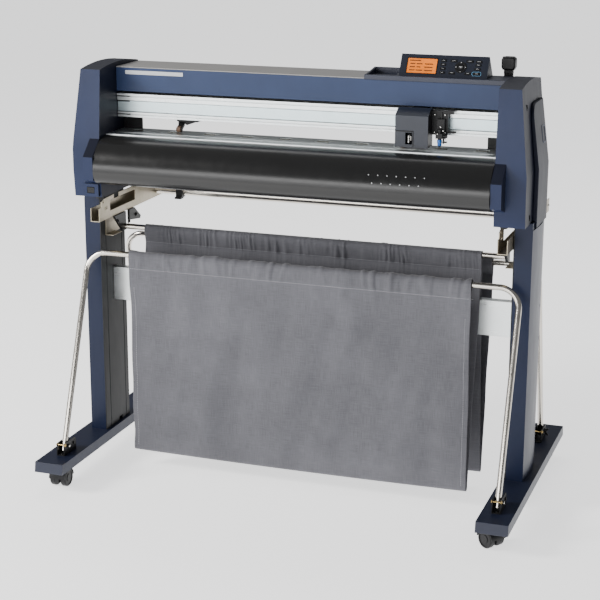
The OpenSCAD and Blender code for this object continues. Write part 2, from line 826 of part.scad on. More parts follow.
// ---- Set lever with its cam shaft ----
lever_x = [508, 540];
lever_top_z = 1197;
module set_lever() {
  t = 16;
  w = lever_x[1] - lever_x[0] - 4;
  color(black) {
    translate([0, cam_y, cam_z]) rotate([0, 90, 0]) {
      cylinder(r = cam_r, h = 2 * (bracket_x + 4), center = true);
      translate([0, 0, lever_x[0] + 4]) cylinder(r = 11, h = w - 4);
    }
    translate([lever_x[0] + 4, 0, 0]) rotate([90, 0, 90]) linear_extrude(w - 4) union() {
      translate([cam_y - 5, cam_z]) square([10, lever_top_z - cam_z - 30]);
      translate([cam_y - t / 2, lever_top_z - 44]) square([t, 36]);
    }
    translate([lever_x[0], 0, 0]) rotate([90, 0, 90]) linear_extrude(w + 4) union() {
      translate([cam_y - t / 2 - 2, lever_top_z - 34]) square([t + 4, 24]);
      translate([cam_y - t / 2 - 2, lever_top_z - 12]) square([t - 6, 12]);
      translate([cam_y + t / 2 - 8, lever_top_z - 10]) circle(r = 10);
    }
  }
}

// ---- Push rollers ----
push_xs = [-361, 276];
arm_pivot = [-30, 991];
push_r = 8.5;
push_yz = [grit_y, platen_z + grit_proud + push_r + 0.3];
holder_w = 50;

// Holder that hangs in the rail's slot, with the arm's hinge pin
module push_holder(x) {
  z1 = rail_z - gap;
  color(black) translate([x, 0, 0]) {
    translate([-12, -46, z1 - 6]) cube([holder_w + 12, 34, 6]);
    translate([-12, slot_y[0] + gap, z1 - eps]) cube([holder_w + 12, slot_y[1] - slot_y[0] - 2 * gap, 5.4]);
    translate([-12, slot_y[0] - 2.6, z1 + 5 - eps]) cube([holder_w + 12, slot_y[1] - slot_y[0] + 5.2, 3.2]);
    // Ears of the hinge
    for (e = [-12, 9]) translate([e, arm_pivot[0] - 6, arm_pivot[1] - 5])
      cube([3, 14, z1 - arm_pivot[1] + 5]);
    // Tapering tail beside the arm
    translate([14, -24, 0]) rotate([90, 0, 0]) linear_extrude(16)
      polygon([[0, z1 - 5], [holder_w - 16, z1 - 5], [0, z1 - 17]]);
    translate([0, arm_pivot[0], arm_pivot[1]]) rotate([0, 90, 0]) cylinder(r = 2, h = 22, center = true);
  }
}

// Forked arm that carries the roller
module push_arm(x) {
  d = push_yz - arm_pivot;
  color(black) translate([x, 0, 0]) {
    difference() {
      rotate([90, 0, 90]) linear_extrude(13, center = true) union() {
        translate(arm_pivot) circle(r = 4.4);
        translate(arm_pivot) rotate(atan2(d.y, d.x)) translate([0, -3]) square([norm(d) - push_r - 2, 6]);
      }
      translate([0, arm_pivot[0], arm_pivot[1]]) rotate([0, 90, 0])
        cylinder(r = 2 + run, h = 40, center = true);
    }
    for (s = [-1, 1]) translate([s * 7.2, 0, 0]) rotate([90, 0, 90])
      linear_extrude(2.4, center = true) difference() {
      union() {
        translate(push_yz) circle(r = 5);
        translate(arm_pivot + d * 0.3) rotate(atan2(d.y, d.x)) translate([0, -3])
          square([norm(d) * 0.7, 6]);
      }
      translate(push_yz) circle(r = 1.5 + run);
    }
    translate([0, (arm_pivot + d * 0.4)[0], (arm_pivot + d * 0.4)[1]]) rotate([atan2(d.y, d.x) + 180, 0, 0])
      cube([16.4, 5, 6], center = true);
  }
}

module push_roller(x) {
  color([0.45, 0.33, 0.24]) translate([x, push_yz[0], push_yz[1]]) rotate([0, 90, 0]) {
    cylinder(r = push_r, h = 11, center = true);
    cylinder(r = 1.5, h = 17.6, center = true);
  }
}

module push_holder_left() { push_holder(push_xs[0]); }
module push_holder_right() { push_holder(push_xs[1]); }
module push_arm_left() { push_arm(push_xs[0]); }
module push_arm_right() { push_arm(push_xs[1]); }
module push_roller_left() { push_roller(push_xs[0]); }
module push_roller_right() { push_roller(push_xs[1]); }

// ---- Carriage ----
car_x = [270, 358];
car_y = [-119, -72];
car_z = [975, 1072];
car_plate_x = 400;
car_wall = 2;
tool_x = 384;
tool_y = -100;
tool_bore = 5;
belt_z = 1042;
belt_r = 9;
belt_y = [8, 16];
belt_t = 1.5;

// Side outline of the carriage cover: flat front, bevelled top
module car_side(t) {
  polygon([
    [car_y[0] + t, car_z[0] + t], [car_y[0] + t, 1057], [car_y[0] + 25 + t, car_z[1] - t],
    [car_y[1] - t, car_z[1] - t], [car_y[1] - t, car_z[0] + t]
  ]);
}

module carriage() {
  w = car_x[1] - car_x[0];
  color(slate) difference() {
    translate([car_x[0], 0, 0]) rotate([90, 0, 90]) linear_extrude(w) car_side(0);
    translate([car_x[0] + car_wall, 0, 0]) rotate([90, 0, 90]) linear_extrude(w - 2 * car_wall)
      car_side(car_wall);
    // Window beside the cutting strip blade
    translate([car_x[0] + 28, car_y[0] - 1, car_z[0] + 8]) cube([18, car_wall + 2, 30]);
    // Step line on the front
    translate([car_x[0] - 1, car_y[0] - 1, car_z[0] + 41]) cube([52, 2, 2]);
    translate([car_x[0] + 49, car_y[0] - 1, car_z[0] - 1]) cube([2, 2, 44]);
  }
  color(black) {
    // Back plate with the tool slide
    translate([car_x[1] - 4, car_y[1] - 8, 1006]) cube([car_plate_x - car_x[1] + 4, 8, 62]);
    // Slider in front of the rail and the finger that reaches over it to the belt
    translate([car_x[0] + 6, car_y[1] - 2, rail_z + 2]) cube([100, 11.5, 58]);
    translate([car_x[0] + 30, car_y[1] - 1, rail_top_z + 1.5]) cube([40, belt_y[1] + 5 - car_y[1], 2.5]);
    translate([car_x[0] + 30, belt_y[1] + 1, belt_z + belt_r - 3])
      cube([40, 3, rail_top_z + 4 - belt_z - belt_r + 3]);
    // Shoes that run in the upper groove
    for (x = [car_x[0] + 8, car_x[0] + 90]) translate([x, -63, rail_top_z - 8.6]) cube([14, 8, 2.2]);
    // Sensor fingers at the right
    translate([car_plate_x - 1, -80, 1011]) cube([22, 6, 5]);
    translate([car_plate_x - 1, -80, 1060]) cube([16, 6, 10]);
    // Rail of the tool holder
    translate([tool_x - 2, car_y[1] - 12 - eps, 1008]) cube([4, 4 + 2 * eps, 56]);
  }
}

// Block that slides up and down in front of the back plate and grips the tool
module tool_holder() {
  color(black) difference() {
    union() {
      translate([tool_x - 10, car_y[1] - 20, 1012]) cube([20, 11.4, 36]);
      translate([tool_x - 9, tool_y - 9, 1000]) cube([18, 20, 13]);
      translate([tool_x, tool_y, 1000]) cylinder(r = 9.5, h = 13);
      translate([tool_x + 8, tool_y, 1006]) rotate([0, 90, 0]) cylinder(r = 5, h = 12);
    }
    translate([tool_x, tool_y, 990]) cylinder(r = tool_bore + run, h = 40);
    translate([tool_x - 2 - gap, car_y[1] - 12 - gap, 1000]) cube([4 + 2 * gap, 20, 60]);
  }
}

module tool_pen() {
  color([0.05, 0.35, 0.75]) translate([tool_x, tool_y, 0]) {
    translate([0, 0, 981]) cylinder(r = 5.5, h = 15);
    translate([0, 0, 976]) cylinder(r1 = 1.5, r2 = 4, h = 5 + eps);
  }
  color(black) translate([tool_x, tool_y, 0]) {
    translate([0, 0, 996 - eps]) cylinder(r = tool_bore, h = 24);
    translate([0, 0, 1019]) cylinder(r = 6.5, h = 4);
  }
}

pulley_xs = [-522, 522];
module drive_belt() {
  len = pulley_xs[1] - pulley_xs[0];
  w = belt_y[1] - belt_y[0];
  color(black) translate([0, belt_y[1], belt_z]) rotate([90, 0, 0]) linear_extrude(w) difference() {
    belt_loop(belt_r + gap + belt_t, len);
    belt_loop(belt_r + gap, len);
  }
}

module belt_loop(r, len) {
  square([len, 2 * r], center = true);
  for (s = [-1, 1]) translate([s * len / 2, 0]) circle(r = r);
}

module belt_pulley(x) {
  color(silver) translate([x, belt_y[0] + 4, belt_z]) rotate([90, 0, 0]) {
    cylinder(r = belt_r, h = 7, center = true);
    cylinder(r = 3, h = 22, center = true);
  }
}
module belt_pulley_left() { belt_pulley(pulley_xs[0]); }
module belt_pulley_right() { belt_pulley(pulley_xs[1]); }

// Main board and power supply under the platen, the two motors, the power inlet
module electronics() {
  color([0.10, 0.30, 0.16]) translate([-180, -40, 831]) cube([260, 90, 2]);
  color(silver) {
    translate([140, -50, 826]) cube([190, 95, 40]);
    for (x = [-160, 60]) translate([x, -30, 825]) cylinder(r = 4, h = 6.5);
    translate([cover_in_x + 10, 10, 1010]) cube([42, 42, 50]);
    translate([cover_in_x + 6, -80, 930]) cube([50, 46, 46]);
    translate([inlet_x - inlet_size.x / 2 + gap, cover_rear_y - 24, inlet_z - inlet_size.y / 2 + gap])
      cube([inlet_size.x - 2 * gap, 24, inlet_size.y - 2 * gap]);
  }
}

// ---- Control panel ----
face_foot = [-47, 1150];
face_top = [-16, panel_top_z];
face_rear = [26, 1150];
face_len = norm(face_top - face_foot);
face_tilt = atan2(face_top.y - face_foot.y, face_top.x - face_foot.x);
panel_x = [257, 490];
panel_wall = 2.5;
key_h = 4;
key_proud = 1.2;
key_round = 1.2;
lcd_box = [276, 8.5, 354, 49.5];
// Keys: [x, height up the face, width, height]
soft_key_list = [for (i = [0:3]) [371, 12.5 + i * 11.2, 14, 7]];
function_key_list = [
  [398, 46, 17, 7], [440, 46, 19, 7], [464, 46, 16, 7], [463, 36.5, 16, 5.5], [462, 25.5, 17, 5.5],
  [461.5, 12.5, 17, 7], [396.5, 12.5, 17, 7], [438.5, 12.5, 17, 7]
];
pad_centre = [418, 29.2];
pad_r = 15.5;
pad_in_r = 9.6;
enter_r = 8.6;

// Draws on the sloping face: x along the beam, y up the face, z out of it
module on_face() {
  translate([0, face_foot.x, face_foot.y]) rotate([face_tilt, 0, 0]) children();
}

module key_outline(k, grow) {
  r = key_round + grow;
  w = k[2] / 2 - key_round;
  h = k[3] / 2 - key_round;
  translate([k[0], k[1]]) {
    square([2 * (w + r), 2 * h], center = true);
    square([2 * w, 2 * (h + r)], center = true);
    for (sx = [-1, 1], sy = [-1, 1]) translate([sx * w, sy * h]) circle(r = r, $fn = 24);
  }
}

module key_solid(k) {
  translate([0, 0, key_proud - key_h]) linear_extrude(key_h) key_outline(k, 0);
}

module panel_section(t) {
  polygon([
    face_foot + [2.2 * t, t == 0 ? 0 : -1], face_top + [0.3 * t, -2.2 * t],
      face_rear + [-1.6 * t, t == 0 ? 0 : -1]
  ]);
}

module panel_housing() {
  w = panel_x[1] - panel_x[0];
  color(navy) difference() {
    translate([panel_x[0], 0, 0]) rotate([90, 0, 90]) linear_extrude(w) panel_section(0);
    translate([panel_x[0] + panel_wall, 0, 0]) rotate([90, 0, 90]) linear_extrude(w - 2 * panel_wall)
      panel_section(panel_wall);
    on_face() {
      translate([lcd_box[0], lcd_box[1], -1.5]) cube([lcd_box[2] - lcd_box[0], lcd_box[3] - lcd_box[1], 5]);
      translate([0, 0, -8]) linear_extrude(12) {
        for (k = soft_key_list) key_outline(k, gap);
        for (k = function_key_list) key_outline(k, gap);
        translate(pad_centre) circle(r = pad_r + gap);
      }
    }
  }
}

module lcd() {
  color([0.95, 0.55, 0.20]) on_face()
    translate([lcd_box[0] + 0.1, lcd_box[1] + 0.1, -1.5])
      cube([lcd_box[2] - lcd_box[0] - 0.2, lcd_box[3] - lcd_box[1] - 0.2, 1.3]);
}

module soft_keys() { color(black) on_face() for (k = soft_key_list) key_solid(k); }
module function_keys() { color(black) on_face() for (k = function_key_list) key_solid(k); }

module arrow_ring() {
  color(black) on_face() translate([pad_centre.x, pad_centre.y, key_proud - key_h]) difference() {
    cylinder(r = pad_r, h = key_h);
    translate([0, 0, -1]) cylinder(r = pad_in_r, h = key_h + 2);
  }
}

module enter_key() {
  color(black) on_face() translate([pad_centre.x, pad_centre.y, key_proud - key_h])
    cylinder(r = enter_r, h = key_h + 0.4);
}

// Moulded base of the control panel with the open tray at its left
base_x = [168, 545];
base_y = [-63, 34];
base_z = [1141, 1150];
tray_rim_z = 1160;
module panel_base() {
  w = base_x[1] - base_x[0];
  tray_x = 250;
  color(navy) difference() {
    union() {
      translate([base_x[0], base_y[0], base_z[0]]) cube([w, base_y[1] - base_y[0], base_z[1] - base_z[0]]);
      // Lip over the fascia's upper edge
      translate([base_x[0], base_y[0], base_z[0] - 4]) cube([w, fascia_y - base_y[0] - 0.1, 5]);
      // Rising rim round the tray
      translate([base_x[0], 0, 0]) rotate([90, 0, 90]) linear_extrude(tray_x + 7 - base_x[0])
        polygon([[base_y[0] + 8, base_z[1] - 1], [base_y[1], tray_rim_z], [base_y[1], base_z[1] - 1]]);
    }
    translate([base_x[0] + 6, base_y[0] + 6, base_z[0] + 2])
      cube([tray_x - base_x[0] - 6, base_y[1] - base_y[0] - 12, 40]);
  }
}

foot_left();
foot_right();
foot_caps();
leg_left();
leg_right();
leg_panels();
cross_stay();
caster_fork_fl();
caster_fork_fr();
caster_fork_rl();
caster_fork_rr();
caster_wheels_fl();
caster_wheels_fr();
caster_wheels_rl();
caster_wheels_rr();
front_tube();
rear_tube();
middle_rod();
tube_brackets();
bag_front();
bag_middle();
bag_rear();
stocker_arms();
stock_shaft_front();
stock_shaft_rear();
roll_stopper();
arm_gussets();
cover_left();
cover_right();
side_panels();
chassis();
fascia();
top_plate();
y_rail();
platen();
apron();
grit_roller();
set_lever();
push_holder_left();
push_holder_right();
push_arm_left();
push_arm_right();
push_roller_left();
push_roller_right();
carriage();
tool_holder();
tool_pen();
drive_belt();
belt_pulley_left();
belt_pulley_right();
electronics();
rubber_feet();
power_rocker();
panel_housing();
panel_base();
lcd();
soft_keys();
arrow_ring();
enter_key();
function_keys();
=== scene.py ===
"""Looks of a wide-format roll cutter on a caster stand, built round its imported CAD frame."""

import json
import math

import bmesh
import bpy
import numpy as np
from mathutils import Matrix, Vector, noise

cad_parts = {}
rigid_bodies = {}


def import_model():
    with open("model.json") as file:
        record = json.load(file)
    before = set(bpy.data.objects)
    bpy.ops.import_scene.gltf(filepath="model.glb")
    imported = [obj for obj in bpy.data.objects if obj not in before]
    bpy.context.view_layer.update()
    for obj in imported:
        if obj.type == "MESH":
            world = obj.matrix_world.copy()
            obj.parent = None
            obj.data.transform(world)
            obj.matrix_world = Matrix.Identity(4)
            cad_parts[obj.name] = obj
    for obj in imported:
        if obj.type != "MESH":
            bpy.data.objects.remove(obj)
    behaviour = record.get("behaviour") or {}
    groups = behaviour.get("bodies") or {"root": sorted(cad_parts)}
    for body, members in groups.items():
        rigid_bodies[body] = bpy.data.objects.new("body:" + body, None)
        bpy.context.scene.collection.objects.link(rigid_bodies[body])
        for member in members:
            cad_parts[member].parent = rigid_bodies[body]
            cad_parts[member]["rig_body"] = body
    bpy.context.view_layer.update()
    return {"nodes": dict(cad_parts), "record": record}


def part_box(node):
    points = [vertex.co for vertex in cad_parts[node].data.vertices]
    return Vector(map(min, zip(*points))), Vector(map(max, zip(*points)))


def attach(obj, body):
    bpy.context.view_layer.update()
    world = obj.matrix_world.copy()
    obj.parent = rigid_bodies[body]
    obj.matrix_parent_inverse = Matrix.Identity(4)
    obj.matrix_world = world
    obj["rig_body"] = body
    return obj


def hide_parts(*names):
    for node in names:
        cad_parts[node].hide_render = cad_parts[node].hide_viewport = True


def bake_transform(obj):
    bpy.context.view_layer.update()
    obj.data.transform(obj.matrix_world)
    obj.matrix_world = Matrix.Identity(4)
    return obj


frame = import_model()
NODES = frame["nodes"]
MM = 0.001
EAST, WEST, NORTH, UP = (1, 0, 0), (-1, 0, 0), (0, 1, 0), (0, 0, 1)


# ---------------------------------------------------------------- materials
def new_material(name, base, rough, metallic=0.0, **constants):
    """A principled material; constants are set on the shader's own sockets."""
    mat = bpy.data.materials.new(name)
    mat.use_nodes = True
    mat.diffuse_color = (*base, 1)
    bsdf = mat.node_tree.nodes["Principled BSDF"]
    bsdf.inputs["Base Color"].default_value = (*base, 1)
    bsdf.inputs["Roughness"].default_value = rough
    bsdf.inputs["Metallic"].default_value = metallic
    for socket, value in constants.items():
        bsdf.inputs[socket].default_value = value
    return mat, mat.node_tree.nodes, mat.node_tree.links, bsdf


def coords(nodes, links, scale=(1, 1, 1), uv=False):
    tc = nodes.new("ShaderNodeTexCoord")
    mp = nodes.new("ShaderNodeMapping")
    mp.inputs["Scale"].default_value = scale
    links.new(tc.outputs["UV" if uv else "Object"], mp.inputs["Vector"])
    return mp.outputs["Vector"]


def noise_fac(nodes, links, vector, scale, detail=3, rough=0.5):
    n = nodes.new("ShaderNodeTexNoise")
    n.inputs["Scale"].default_value = scale
    n.inputs["Detail"].default_value = detail
    n.inputs["Roughness"].default_value = rough
    links.new(vector, n.inputs["Vector"])
    return n.outputs["Fac"]


def remap(nodes, links, value, low, high, from_low=0.3, from_high=0.7):
    r = nodes.new("ShaderNodeMapRange")
    r.inputs["From Min"].default_value = from_low
    r.inputs["From Max"].default_value = from_high
    r.inputs["To Min"].default_value = low
    r.inputs["To Max"].default_value = high
    links.new(value, r.inputs["Value"])
    return r.outputs["Result"]


def mixed(nodes, links, fac, a, b):
    m = nodes.new("ShaderNodeMix")
    m.data_type = "RGBA"
    m.inputs["A"].default_value = (*a, 1)
    m.inputs["B"].default_value = (*b, 1)
    links.new(fac, m.inputs["Factor"])
    return m.outputs["Result"]


def math_node(nodes, links, op, a, b=None):
    m = nodes.new("ShaderNodeMath")
    m.operation = op
    for i, v in enumerate((a, b)):
        if v is None:
            continue
        if isinstance(v, (int, float)):
            m.inputs[i].default_value = v
        else:
            links.new(v, m.inputs[i])
    return m.outputs[0]


def weighted(nodes, links, a, share_a, b, share_b):
    """a * share_a + b * share_b."""
    part_a = math_node(nodes, links, "MULTIPLY", a, share_a)
    part_b = math_node(nodes, links, "MULTIPLY", b, share_b)
    return math_node(nodes, links, "ADD", part_a, part_b)


def bump(nodes, links, height, strength, distance, bsdf):
    b = nodes.new("ShaderNodeBump")
    b.inputs["Strength"].default_value = strength
    b.inputs["Distance"].default_value = distance
    links.new(height, b.inputs["Height"])
    links.new(b.outputs["Normal"], bsdf.inputs["Normal"])


def scaled(colour, k):
    return tuple(min(1.0, c * k) for c in colour)


def drift(nodes, links, pattern, base, darker, lighter, low=0.3, high=0.7):
    """The base colour, between two strengths of it, as the pattern goes from low to high."""
    fac = remap(nodes, links, pattern, 0, 1, low, high)
    return mixed(nodes, links, fac, scaled(base, darker), scaled(base, lighter))


DUST = (0.45, 0.44, 0.42, 1)
DUST_SHARE = 0.02


def grained(name, base, rough, grain=1400, depth=0.00006, spread=0.10, gloss=0.5):
    """Moulded plastic or powder coat: fine grain, slow colour drift, uneven sheen, pale dust on top."""
    mat, nodes, links, bsdf = new_material(name, base, rough, **{"Specular IOR Level": gloss})
    at = coords(nodes, links)
    fine = noise_fac(nodes, links, at, grain, 2, 0.6)
    slow = noise_fac(nodes, links, at, 9, 4, 0.6)
    smear = noise_fac(nodes, links, coords(nodes, links, (1, 1, 0.35)), 38, 5, 0.65)
    body = drift(nodes, links, slow, base, 1 - spread, 1 + spread)
    geo = nodes.new("ShaderNodeNewGeometry")
    up = nodes.new("ShaderNodeSeparateXYZ")
    links.new(geo.outputs["Normal"], up.inputs[0])
    dust = remap(nodes, links, up.outputs["Z"], 0.0, DUST_SHARE, 0.5, 1.0)
    m = nodes.new("ShaderNodeMix")
    m.data_type = "RGBA"
    m.inputs["B"].default_value = DUST
    links.new(body, m.inputs["A"])
    links.new(dust, m.inputs["Factor"])
    links.new(m.outputs["Result"], bsdf.inputs["Base Color"])
    links.new(remap(nodes, links, smear, max(0.05, rough - 0.025), rough + 0.035), bsdf.inputs["Roughness"])
    bump(nodes, links, fine, 0.35, depth, bsdf)
    return mat


def metal(
    name, base, rough, along=(1, 1, 1), streak=260, depth=0.00002, spread=0.06, metallic=1.0, tint=None
):
    """Bare or plated metal: streaks along its length, cloudy patches and fine scratches."""
    mat, nodes, links, bsdf = new_material(name, base, rough, metallic)
    lines = noise_fac(nodes, links, coords(nodes, links, along), streak, 3, 0.7)
    cloud = noise_fac(nodes, links, coords(nodes, links), 24, 5, 0.62)
    fac = remap(nodes, links, cloud, 0, 1)
    colour = mixed(nodes, links, fac, scaled(base, 1 - spread), tint or scaled(base, 1 + spread))
    links.new(colour, bsdf.inputs["Base Color"])
    both = weighted(nodes, links, lines, 0.6, cloud, 0.4)
    links.new(remap(nodes, links, both, max(0.04, rough - 0.06), rough + 0.10), bsdf.inputs["Roughness"])
    bump(nodes, links, lines, 0.25, depth, bsdf)
    return mat


THREAD_PITCH = 0.9 * MM


def woven(name, base):
    """Plain-woven polyester: crossing threads, uneven yarn, broad darker and lighter patches, partly wear
    and partly painted shade of folds.
    """
    mat, nodes, links, bsdf = new_material(
        name, base, 0.82, **{"Sheen Weight": 0.28, "Sheen Roughness": 0.45, "Specular IOR Level": 0.25}
    )
    uv = coords(nodes, links, uv=True)
    parts = nodes.new("ShaderNodeSeparateXYZ")
    links.new(uv, parts.inputs[0])
    turn = math.pi / THREAD_PITCH
    warp = math_node(nodes, links, "SINE", math_node(nodes, links, "MULTIPLY", parts.outputs["X"], turn))
    weft = math_node(nodes, links, "SINE", math_node(nodes, links, "MULTIPLY", parts.outputs["Y"], turn))
    over = math_node(nodes, links, "MULTIPLY", warp, weft)
    slub_x = noise_fac(nodes, links, coords(nodes, links, (26, 620, 1), uv=True), 1, 3, 0.6)
    slub_y = noise_fac(nodes, links, coords(nodes, links, (620, 26, 1), uv=True), 1, 3, 0.6)
    # Broad darker and lighter patches: partly wear, partly painted shade standing in for the shading of
    # folds
    wear_and_shade = noise_fac(nodes, links, coords(nodes, links), 6, 5, 0.6)
    yarn = weighted(nodes, links, slub_x, 0.5, slub_y, 0.5)
    yarn_wear_and_shade = weighted(nodes, links, yarn, 0.62, wear_and_shade, 0.38)
    crossings = math_node(nodes, links, "MULTIPLY", over, 0.05)
    tone = math_node(nodes, links, "ADD", yarn_wear_and_shade, crossings)
    links.new(drift(nodes, links, tone, base, 0.70, 1.3, 0.36, 0.64), bsdf.inputs["Base Color"])
    height = math_node(nodes, links, "ADD", over, math_node(nodes, links, "MULTIPLY", yarn, 1.5))
    bump(nodes, links, height, 0.5, 0.00012, bsdf)
    return mat


def rubbery(name, base, rough=0.7):
    """Moulded rubber: fine pores and patches of uneven sheen."""
    mat, nodes, links, bsdf = new_material(name, base, rough, **{"Specular IOR Level": 0.35})
    at = coords(nodes, links)
    pores = noise_fac(nodes, links, at, 2400, 2, 0.6)
    patch = noise_fac(nodes, links, at, 45, 4, 0.6)
    links.new(drift(nodes, links, patch, base, 0.8, 1.5), bsdf.inputs["Base Color"])
    links.new(remap(nodes, links, patch, rough - 0.08, rough + 0.1), bsdf.inputs["Roughness"])
    bump(nodes, links, pores, 0.4, 0.00008, bsdf)
    return mat


def glowing(name, base, strength):
    """A lit display under a clear window."""
    window = {"Coat Weight": 0.6, "Emission Strength": strength}
    mat, nodes, links, bsdf = new_material(name, base, 0.22, **window)
    cells = noise_fac(nodes, links, coords(nodes, links), 30, 3, 0.5)
    tone = drift(nodes, links, cells, base, 0.88, 1.12)
    links.new(tone, bsdf.inputs["Base Color"])
    links.new(tone, bsdf.inputs["Emission Color"])
    return mat


# By the record's material slot
MATS = {
    "navy_paint": grained("navy_powder_coat", (0.005, 0.010, 0.033), 0.36, 900, 0.00008, gloss=0.27),
    "navy_plastic": grained("navy_moulded", (0.012, 0.016, 0.036), 0.38),
    "slate_cover": grained("cover_paint", (0.009, 0.017, 0.054), 0.36, 1100, 0.00007, gloss=0.27),
    "black_plastic": grained("black_moulded", (0.010, 0.010, 0.011), 0.40, gloss=0.28),
    "black_metal": grained("black_powder_coat", (0.010, 0.010, 0.011), 0.36, 1000, 0.0001, gloss=0.25),
    "dark_panel": grained("charcoal_moulded", (0.022, 0.023, 0.024), 0.5, gloss=0.25),
    "aluminium": metal("anodised_aluminium", (0.86, 0.90, 0.905), 0.30, (1, 60, 60), 9, 0.00001, 0.03),
    "steel_tube": metal("nickel_tube", (0.66, 0.62, 0.56), 0.17, (1, 1, 1), 520, 0.00001, 0.08),
    "zinc_sheet": metal(
        "zinc_chromate", (0.42, 0.38, 0.27), 0.36, (1, 1, 1), 420, 0.00003, 0.16, 0.85,
        tint=(0.50, 0.44, 0.36),
    ),
    "grey_sheet": grained("warm_grey_coat", (0.30, 0.29, 0.28), 0.40, 1000, 0.0001, 0.04),
    "cloth": woven("basket_cloth", (0.112, 0.112, 0.126)),
    "rubber": rubbery("black_rubber", (0.015, 0.015, 0.015)),
    "roller_rubber": rubbery("brown_rubber", (0.10, 0.060, 0.040), 0.6),
    "tool_plastic": grained("blue_cap", (0.008, 0.11, 0.42), 0.28, 1600, 0.00003),
    "display": glowing("lit_display", (0.88, 0.21, 0.014), 0.30),
    "board": grained("solder_mask", (0.02, 0.12, 0.05), 0.35, 700),
}
# For parts of nodes and for the added pieces
GUIDE = grained("guide_satin", (0.009, 0.009, 0.009), 0.22, 700, 0.000006, 0.05)
CHROME = metal("bright_screw", (0.75, 0.74, 0.71), 0.16, (1, 1, 1), 700, 0.00001)
BRASS = metal("yellow_zinc_bolt", (0.72, 0.52, 0.22), 0.28, (1, 1, 1), 600, 0.00002, 0.12)
WHITE = grained("white_print", (0.60, 0.61, 0.62), 0.55, 1500, 0.00002, 0.03)
FASCIA = grained("fascia_paint", (0.021, 0.038, 0.098), 0.38, 1100, 0.00007, gloss=0.3)
# Darker paint for the covers' side and top faces and for the side panels: painted shade where less light
# falls
SHADED_SIDE = grained("cover_side_painted_shade", (0.009, 0.011, 0.022), 0.42, 1100, 0.00007, gloss=0.14)
# Near-black and glossless: painted shade of the recesses round the cover screws
SHADOW = grained("plug_recess_painted_shade", (0.003, 0.003, 0.003), 0.9, 1500, 0.00003, gloss=0.0)
RAIL_PANEL = metal("rail_panel", (0.66, 0.78, 0.81), 0.34, (1, 60, 60), 9, 0.00001, 0.03)
CARRIAGE = grained("carriage_cover", (0.014, 0.018, 0.030), 0.36, 1200, 0.00004)
PALE = grained("pale_label", (0.55, 0.57, 0.60), 0.35, 1500, 0.00001, 0.03)
THREAD = grained("thread", (0.34, 0.34, 0.37), 0.8, 3000, 0.00008, 0.1)
INK = grained("display_ink", (0.12, 0.035, 0.008), 0.4, 1500, 0.00001, 0.02)
FACE = grained("panel_face", (0.014, 0.017, 0.028), 0.34, 1500, 0.00003, 0.05)
SKY = grained("light_blue_print", (0.12, 0.30, 0.48), 0.5, 1500, 0.00002, 0.03)


# ---------------------------------------------------------------- CAD nodes
BEVEL_ANGLE = math.radians(32)


def soften(name, width):
    """Rounds a CAD node's edges with modifiers, which leave its own mesh as it is."""
    o = NODES[name]
    for layer in ("custom_normal", "sharp_edge", "sharp_face"):
        if layer in o.data.attributes:
            o.data.attributes.remove(o.data.attributes[layer])
    o.data.shade_smooth()
    weld = o.modifiers.new("weld", "WELD")
    weld.merge_threshold = 0.00001
    flat = o.modifiers.new("planar", "DECIMATE")
    flat.decimate_type = "DISSOLVE"
    flat.angle_limit = math.radians(0.6)
    bevel = o.modifiers.new("bevel", "BEVEL")
    bevel.width = width * MM
    bevel.segments = 3
    bevel.limit_method = "ANGLE"
    bevel.angle_limit = BEVEL_ANGLE
    bevel.use_clamp_overlap = True
    bevel.miter_outer = "MITER_ARC"
    normals = o.modifiers.new("normals", "WEIGHTED_NORMAL")
    normals.keep_sharp = True


def dress(name, *mats, pick=None):
    """Gives a CAD node its materials; pick(centre, normal) chooses among them by face."""
    o = NODES[name]
    o.data.materials.clear()
    for m in mats:
        o.data.materials.append(m)
    for p in o.data.polygons:
        p.material_index = pick(p.center, p.normal) if pick else 0


slot_of = {s["node"]: s["material_slot"] for s in frame["record"]["subparts"]}
for node_name in NODES:
    dress(node_name, MATS[slot_of[node_name]])
# Edge radius in millimetres
BEVELS = {
    "foot_left": 3, "foot_right": 3, "foot_caps": 2.5, "leg_left": 2.5, "leg_right": 2.5,
    "leg_panels": 0.8, "cross_stay": 2, "cover_left": 4, "cover_right": 4, "side_panels": 4,
    "carriage": 1.6, "panel_housing": 1.2, "panel_base": 1.2, "set_lever": 1.6,
    "power_rocker": 0.7, "tube_brackets": 1, "stocker_arms": 0.5, "arm_gussets": 0.6,
    "tool_holder": 0.7, "soft_keys": 0.5, "function_keys": 0.5, "arrow_ring": 0.5,
    "enter_key": 0.6, "top_plate": 0.6, "fascia": 0.6, "y_rail": 0.35, "platen": 0.4,
    "roll_stopper": 0.8, "push_holder_left": 0.6, "push_holder_right": 0.6, "rubber_feet": 1,
    "chassis": 0.5,
}
for node_name, bevel_width in BEVELS.items():
    soften(node_name, bevel_width)
for corner in ("fl", "fr", "rl", "rr"):
    soften("caster_fork_" + corner, 0.9)
dress("apron", GUIDE)
dress("fascia", FASCIA)
rail_lo, rail_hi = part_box("y_rail")
car_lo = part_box("carriage")[0]
pen_lo, pen_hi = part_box("tool_pen")
INLET_Y = 61 * MM
BOARD_TOP_Z = 833.5 * MM
BOARD_END_X = 90 * MM
COVER_END = 88 * MM


def on_rail_panel(centre, normal):
    """1 on the rail's sunk middle panel, between its grooves."""
    return int(normal.y < -0.9 and rail_lo.z + 14 * MM < centre.z < rail_hi.z - 22 * MM)


def on_painted_shade_face(centre, normal):
    """1 on a cover's side and top faces, which take the darker paint as painted shade."""
    return int(abs(normal.x) > 0.6 or normal.z > 0.6)


def inside_kind(centre, normal):
    """0 on the board, 1 on the power supply and the motors, 2 on the inlet."""
    if centre.y > INLET_Y:
        return 2
    return 0 if centre.z < BOARD_TOP_Z and centre.x < BOARD_END_X else 1


